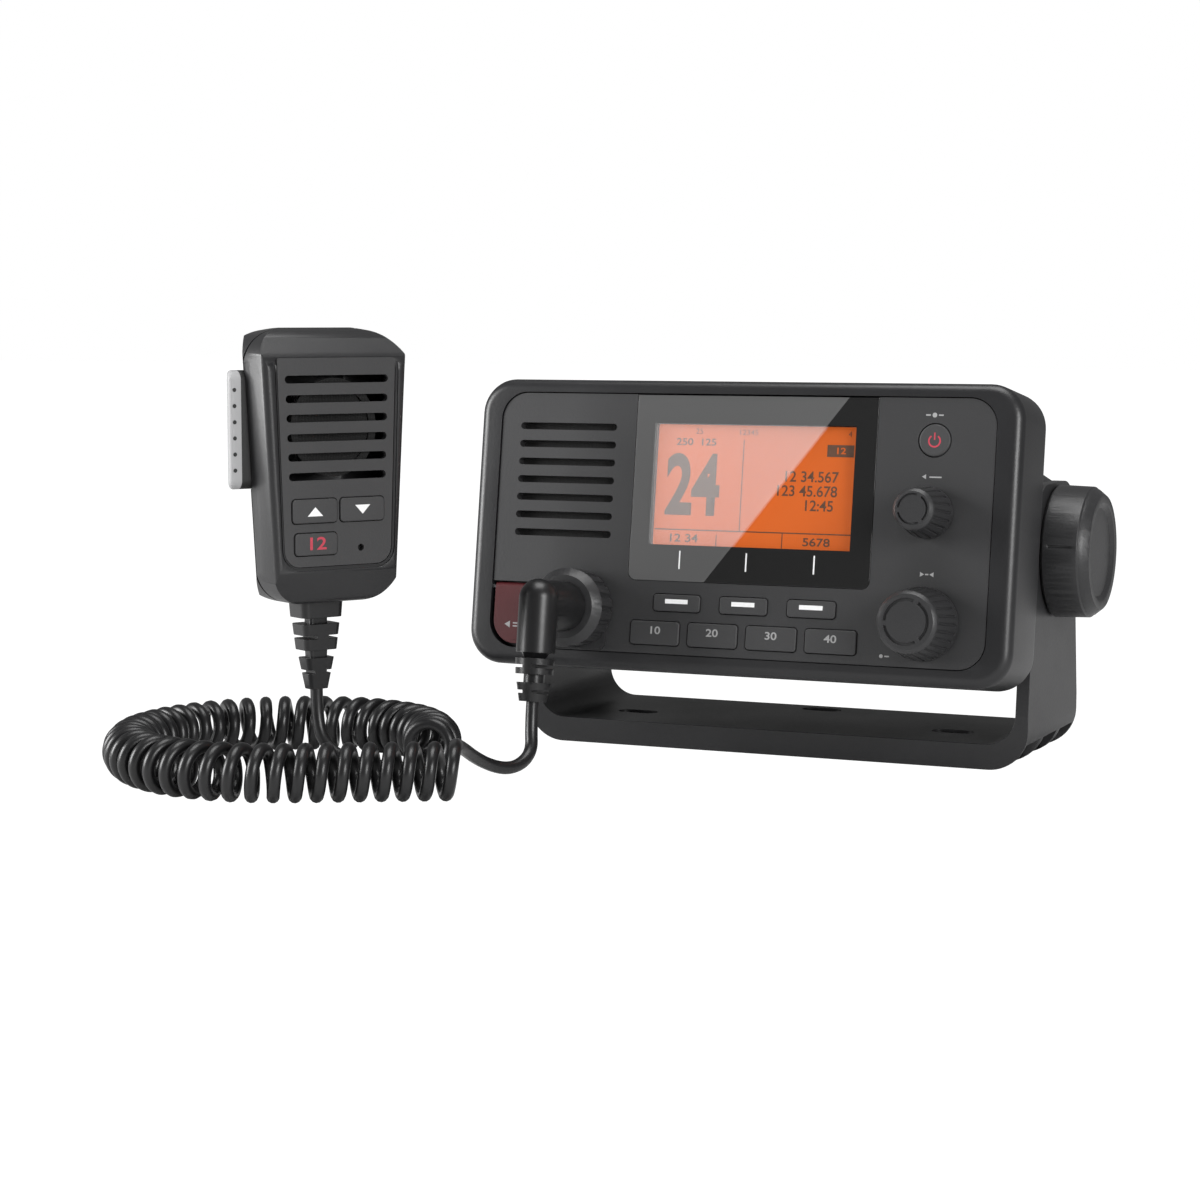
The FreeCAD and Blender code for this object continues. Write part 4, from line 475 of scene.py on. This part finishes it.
# Cord routes, as the solids have them: the ring's axis on the floor, and the two leads
curlPlan = {"radius": 6.5, "wire": 1.85, "turns": 45.5, "steps": 12, "straight": 3.7, "height": 8.35,
            "length": 1.925}
ringRoute = [(-49.8, -138.6), (-74, -151.7), (-98.4, -165.0), (-117.8, -166.7), (-136.3, -160.6),
             (-150.9, -147.6), (-159.2, -129.9), (-159.7, -110.4), (-152.5, -92.3), (-138.7, -78.5),
             (-122.5, -72.2), (-107.3, -72.3), (-93.3, -78.1), (-82.5, -88.7), (-77.6, -99.9),
             (-76.9, -104.3)]
handsetLeadPlan = {"bootEnd": (0, 13.4, -64.5 - 25.3), "stub": 7, "rise": 0.1,
                   "bends": [(10.0, -0.5, -21.0), (2.5, -1.0, -15.5), (0, 0, -8)]}
plugLeadPlan = {"bootEnd": (-48.3, -86.0, -25.7 - 14.2 - 14.2), "drop": 7, "stub": 6, "length": 0.0577,
                "bends": [(-46.6, -97.0, 7.0), (-49.0, -105.5, 3.6), (-54.0, -114.0, 6.6)]}


def smoothLine(name, points, wireRadius=0.0, steps=12, sides=4):
    curve = bpy.data.curves.new(name, "CURVE")
    curve.dimensions = "3D"
    curve.resolution_u = steps
    curve.bevel_depth = wireRadius
    curve.bevel_resolution = sides
    curve.use_fill_caps = True
    spline = curve.splines.new("NURBS")
    spline.points.add(len(points) - 1)
    for point, place in zip(spline.points, points):
        point.co = (*place, 1)
    spline.order_u = 3
    spline.use_endpoint_u = True
    holder = bpy.data.objects.new(name, curve)
    bpy.context.scene.collection.objects.link(holder)
    return holder


def readLine(points):
    holder = smoothLine("route", points)
    bpy.context.view_layer.update()
    read = bpy.data.meshes.new_from_object(holder.evaluated_get(bpy.context.evaluated_depsgraph_get()))
    line = [v.co.copy() for v in read.vertices]
    bpy.data.objects.remove(holder)
    bpy.data.meshes.remove(read)
    return line


def alongLine(line, share):
    lengths = [0.0]
    for a, b in zip(line, line[1:]):
        lengths.append(lengths[-1] + (b - a).length)
    goal = share * lengths[-1]
    i = next((k for k in range(1, len(lengths)) if lengths[k] >= goal), len(lengths) - 1)
    rest = (goal - lengths[i - 1]) / (lengths[i] - lengths[i - 1])
    return line[i - 1].lerp(line[i], rest), (line[min(i, len(line) - 1)] - line[i - 1]).normalized()


def curls():
    axis = readLine([(x * mm, y * mm, curlPlan["height"] * mm) for x, y in ringRoute])
    reach = curlPlan["radius"] * mm / math.cos(math.pi / curlPlan["steps"])
    count = int(curlPlan["turns"] * curlPlan["steps"])
    points = []
    for i in range(count + 1):
        centre, ahead = alongLine(axis, i / count)
        phase = 2 * math.pi * curlPlan["turns"] * i / count - math.pi / 2
        out = Vector((-ahead.y, ahead.x, 0))
        reachNow = reach if 0 < i < count else curlPlan["radius"] * mm
        sink = Vector((0, 0, reachNow * math.sin(phase)))
        points.append(centre + out * (reachNow * math.cos(phase)) - sink)
    ends = ((axis[1] - axis[0]).normalized(), (axis[-1] - axis[-2]).normalized())
    return points, *(Vector((ahead.y, -ahead.x, 0)) for ahead in ends)


turnsOfWire, startAway, endAway = curls()
coilStart = turnsOfWire[0] + startAway * curlPlan["straight"] * mm
coilEnd = turnsOfWire[-1] + endAway * curlPlan["straight"] * mm
bootEnd = handsetSeat @ Vector([v * mm for v in handsetLeadPlan["bootEnd"]])
handsetRise = Vector((0, 0, handsetLeadPlan["rise"] * mm))
handsetRoute = [coilEnd + endAway * handsetLeadPlan["stub"] * mm + handsetRise,
                *(bootEnd + Vector(bend) * mm for bend in handsetLeadPlan["bends"]), bootEnd]
wireRadius = curlPlan["wire"] * mm
curly = smoothLine("curlyCord", [coilStart] + turnsOfWire + [coilEnd] + handsetRoute, wireRadius, 4)
curly.data.materials.append(finishes["cord_jacket"])
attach(curly, "bracket")
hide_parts("coil_cord", "handset_lead")

plugEnd = radioSeat @ Vector([v * mm for v in plugLeadPlan["bootEnd"]])
down = radioSeat.to_3x3() @ Vector((0, 0, -1))
plugRoute = [plugEnd, plugEnd + down * plugLeadPlan["drop"] * mm,
             *(Vector(bend) * mm for bend in plugLeadPlan["bends"]),
             coilStart + startAway * plugLeadPlan["stub"] * mm, coilStart]
holder = smoothLine("leadLine", plugRoute, wireRadius, 12, 5)
bpy.context.view_layer.update()
leadMesh = bpy.data.meshes.new_from_object(holder.evaluated_get(bpy.context.evaluated_depsgraph_get()))
bpy.data.objects.remove(holder)
leadMesh.materials.clear()
leadMesh.materials.append(finishes["cord_jacket"])
lead = bpy.data.objects.new("plugLead", leadMesh)
bpy.context.scene.collection.objects.link(lead)
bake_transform(lead)
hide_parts("plug_lead")
readLine(plugRoute)
print("cords laid")


# Six grip dots down the talk bar's forward side
dots = Ink()
for i in range(barPlan["dots"]):
    dots.polygon(barPlan["across"], barPlan["top"] - i * barPlan["pitch"], barPlan["radius"], 16)
dots.lay("gripDots", darkInk, "ptt_button", handsetSeat, barPlan["face"] - facePlan["film"])
print("handset dressed")


# Floor, world and lamps: white to the camera, dimmer in what the pieces mirror
studioPlan = {"floor": 0.7, "drop": 0.4, "world": 0.2, "shown": 0.97, "white": 1.12,
              "lamps": {"top": ((0.05, -0.1, 1.1), (0, 0, 0), 0.7, 9.0),
                        "left": ((-1.1, -0.6, 0.35), (0, 0, 0.06), 0.6, 19.0),
                        "right": ((1.0, -0.75, 0.4), (0, 0, 0.06), 0.5, 12.0)}}


def studio():
    shape = bmesh.new()
    bmesh.ops.create_grid(shape, x_segments=1, y_segments=1, size=6)
    mesh = bpy.data.meshes.new("floor")
    shape.to_mesh(mesh)
    shape.free()
    floor = bpy.data.objects.new("floor", mesh)
    floor.location.z = -studioPlan["drop"] * mm
    bpy.context.scene.collection.objects.link(floor)
    shader = Shader("paleFloor")
    level = studioPlan["floor"]
    shader.set(Base_Color=shader.mix(shader.noise(3), rgba((level,) * 3), rgba((level * 1.03,) * 3)),
               Roughness=0.9)
    rays = shader.node("ShaderNodeLightPath")
    white = shader.node("ShaderNodeEmission", {"Color": (1, 1, 1, 1), "Strength": studioPlan["white"]})
    output = next(n for n in shader.tree.nodes if n.type == "OUTPUT_MATERIAL")
    lit = Wire(shader, shader.surface.outputs[0])
    blended = shader.node("ShaderNodeMixShader", {0: rays * studioPlan["shown"], 1: lit, 2: white})
    shader.tree.links.new(blended.socket, output.inputs[0])
    mesh.materials.append(shader.material)

    world = bpy.data.worlds.new("studio")
    bpy.context.scene.world = world
    world.use_nodes = True
    tree = world.node_tree
    background = tree.nodes["Background"]
    background.inputs["Color"].default_value = (1, 1, 1, 1)
    path = tree.nodes.new("ShaderNodeLightPath")
    share = tree.nodes.new("ShaderNodeMapRange")
    tree.links.new(path.outputs["Is Camera Ray"], share.inputs["Value"])
    share.inputs["To Min"].default_value = studioPlan["world"]
    share.inputs["To Max"].default_value = 1.0
    tree.links.new(share.outputs[0], background.inputs["Strength"])
    for name, (place, target, size, power) in studioPlan["lamps"].items():
        lamp = bpy.data.lights.new(name, "AREA")
        lamp.size = size
        lamp.energy = power
        holder = bpy.data.objects.new(name, lamp)
        holder.location = place
        holder.rotation_euler = (Vector(target) - Vector(place)).to_track_quat("-Z", "Y").to_euler()
        bpy.context.scene.collection.objects.link(holder)


studio()
print("studio lit")
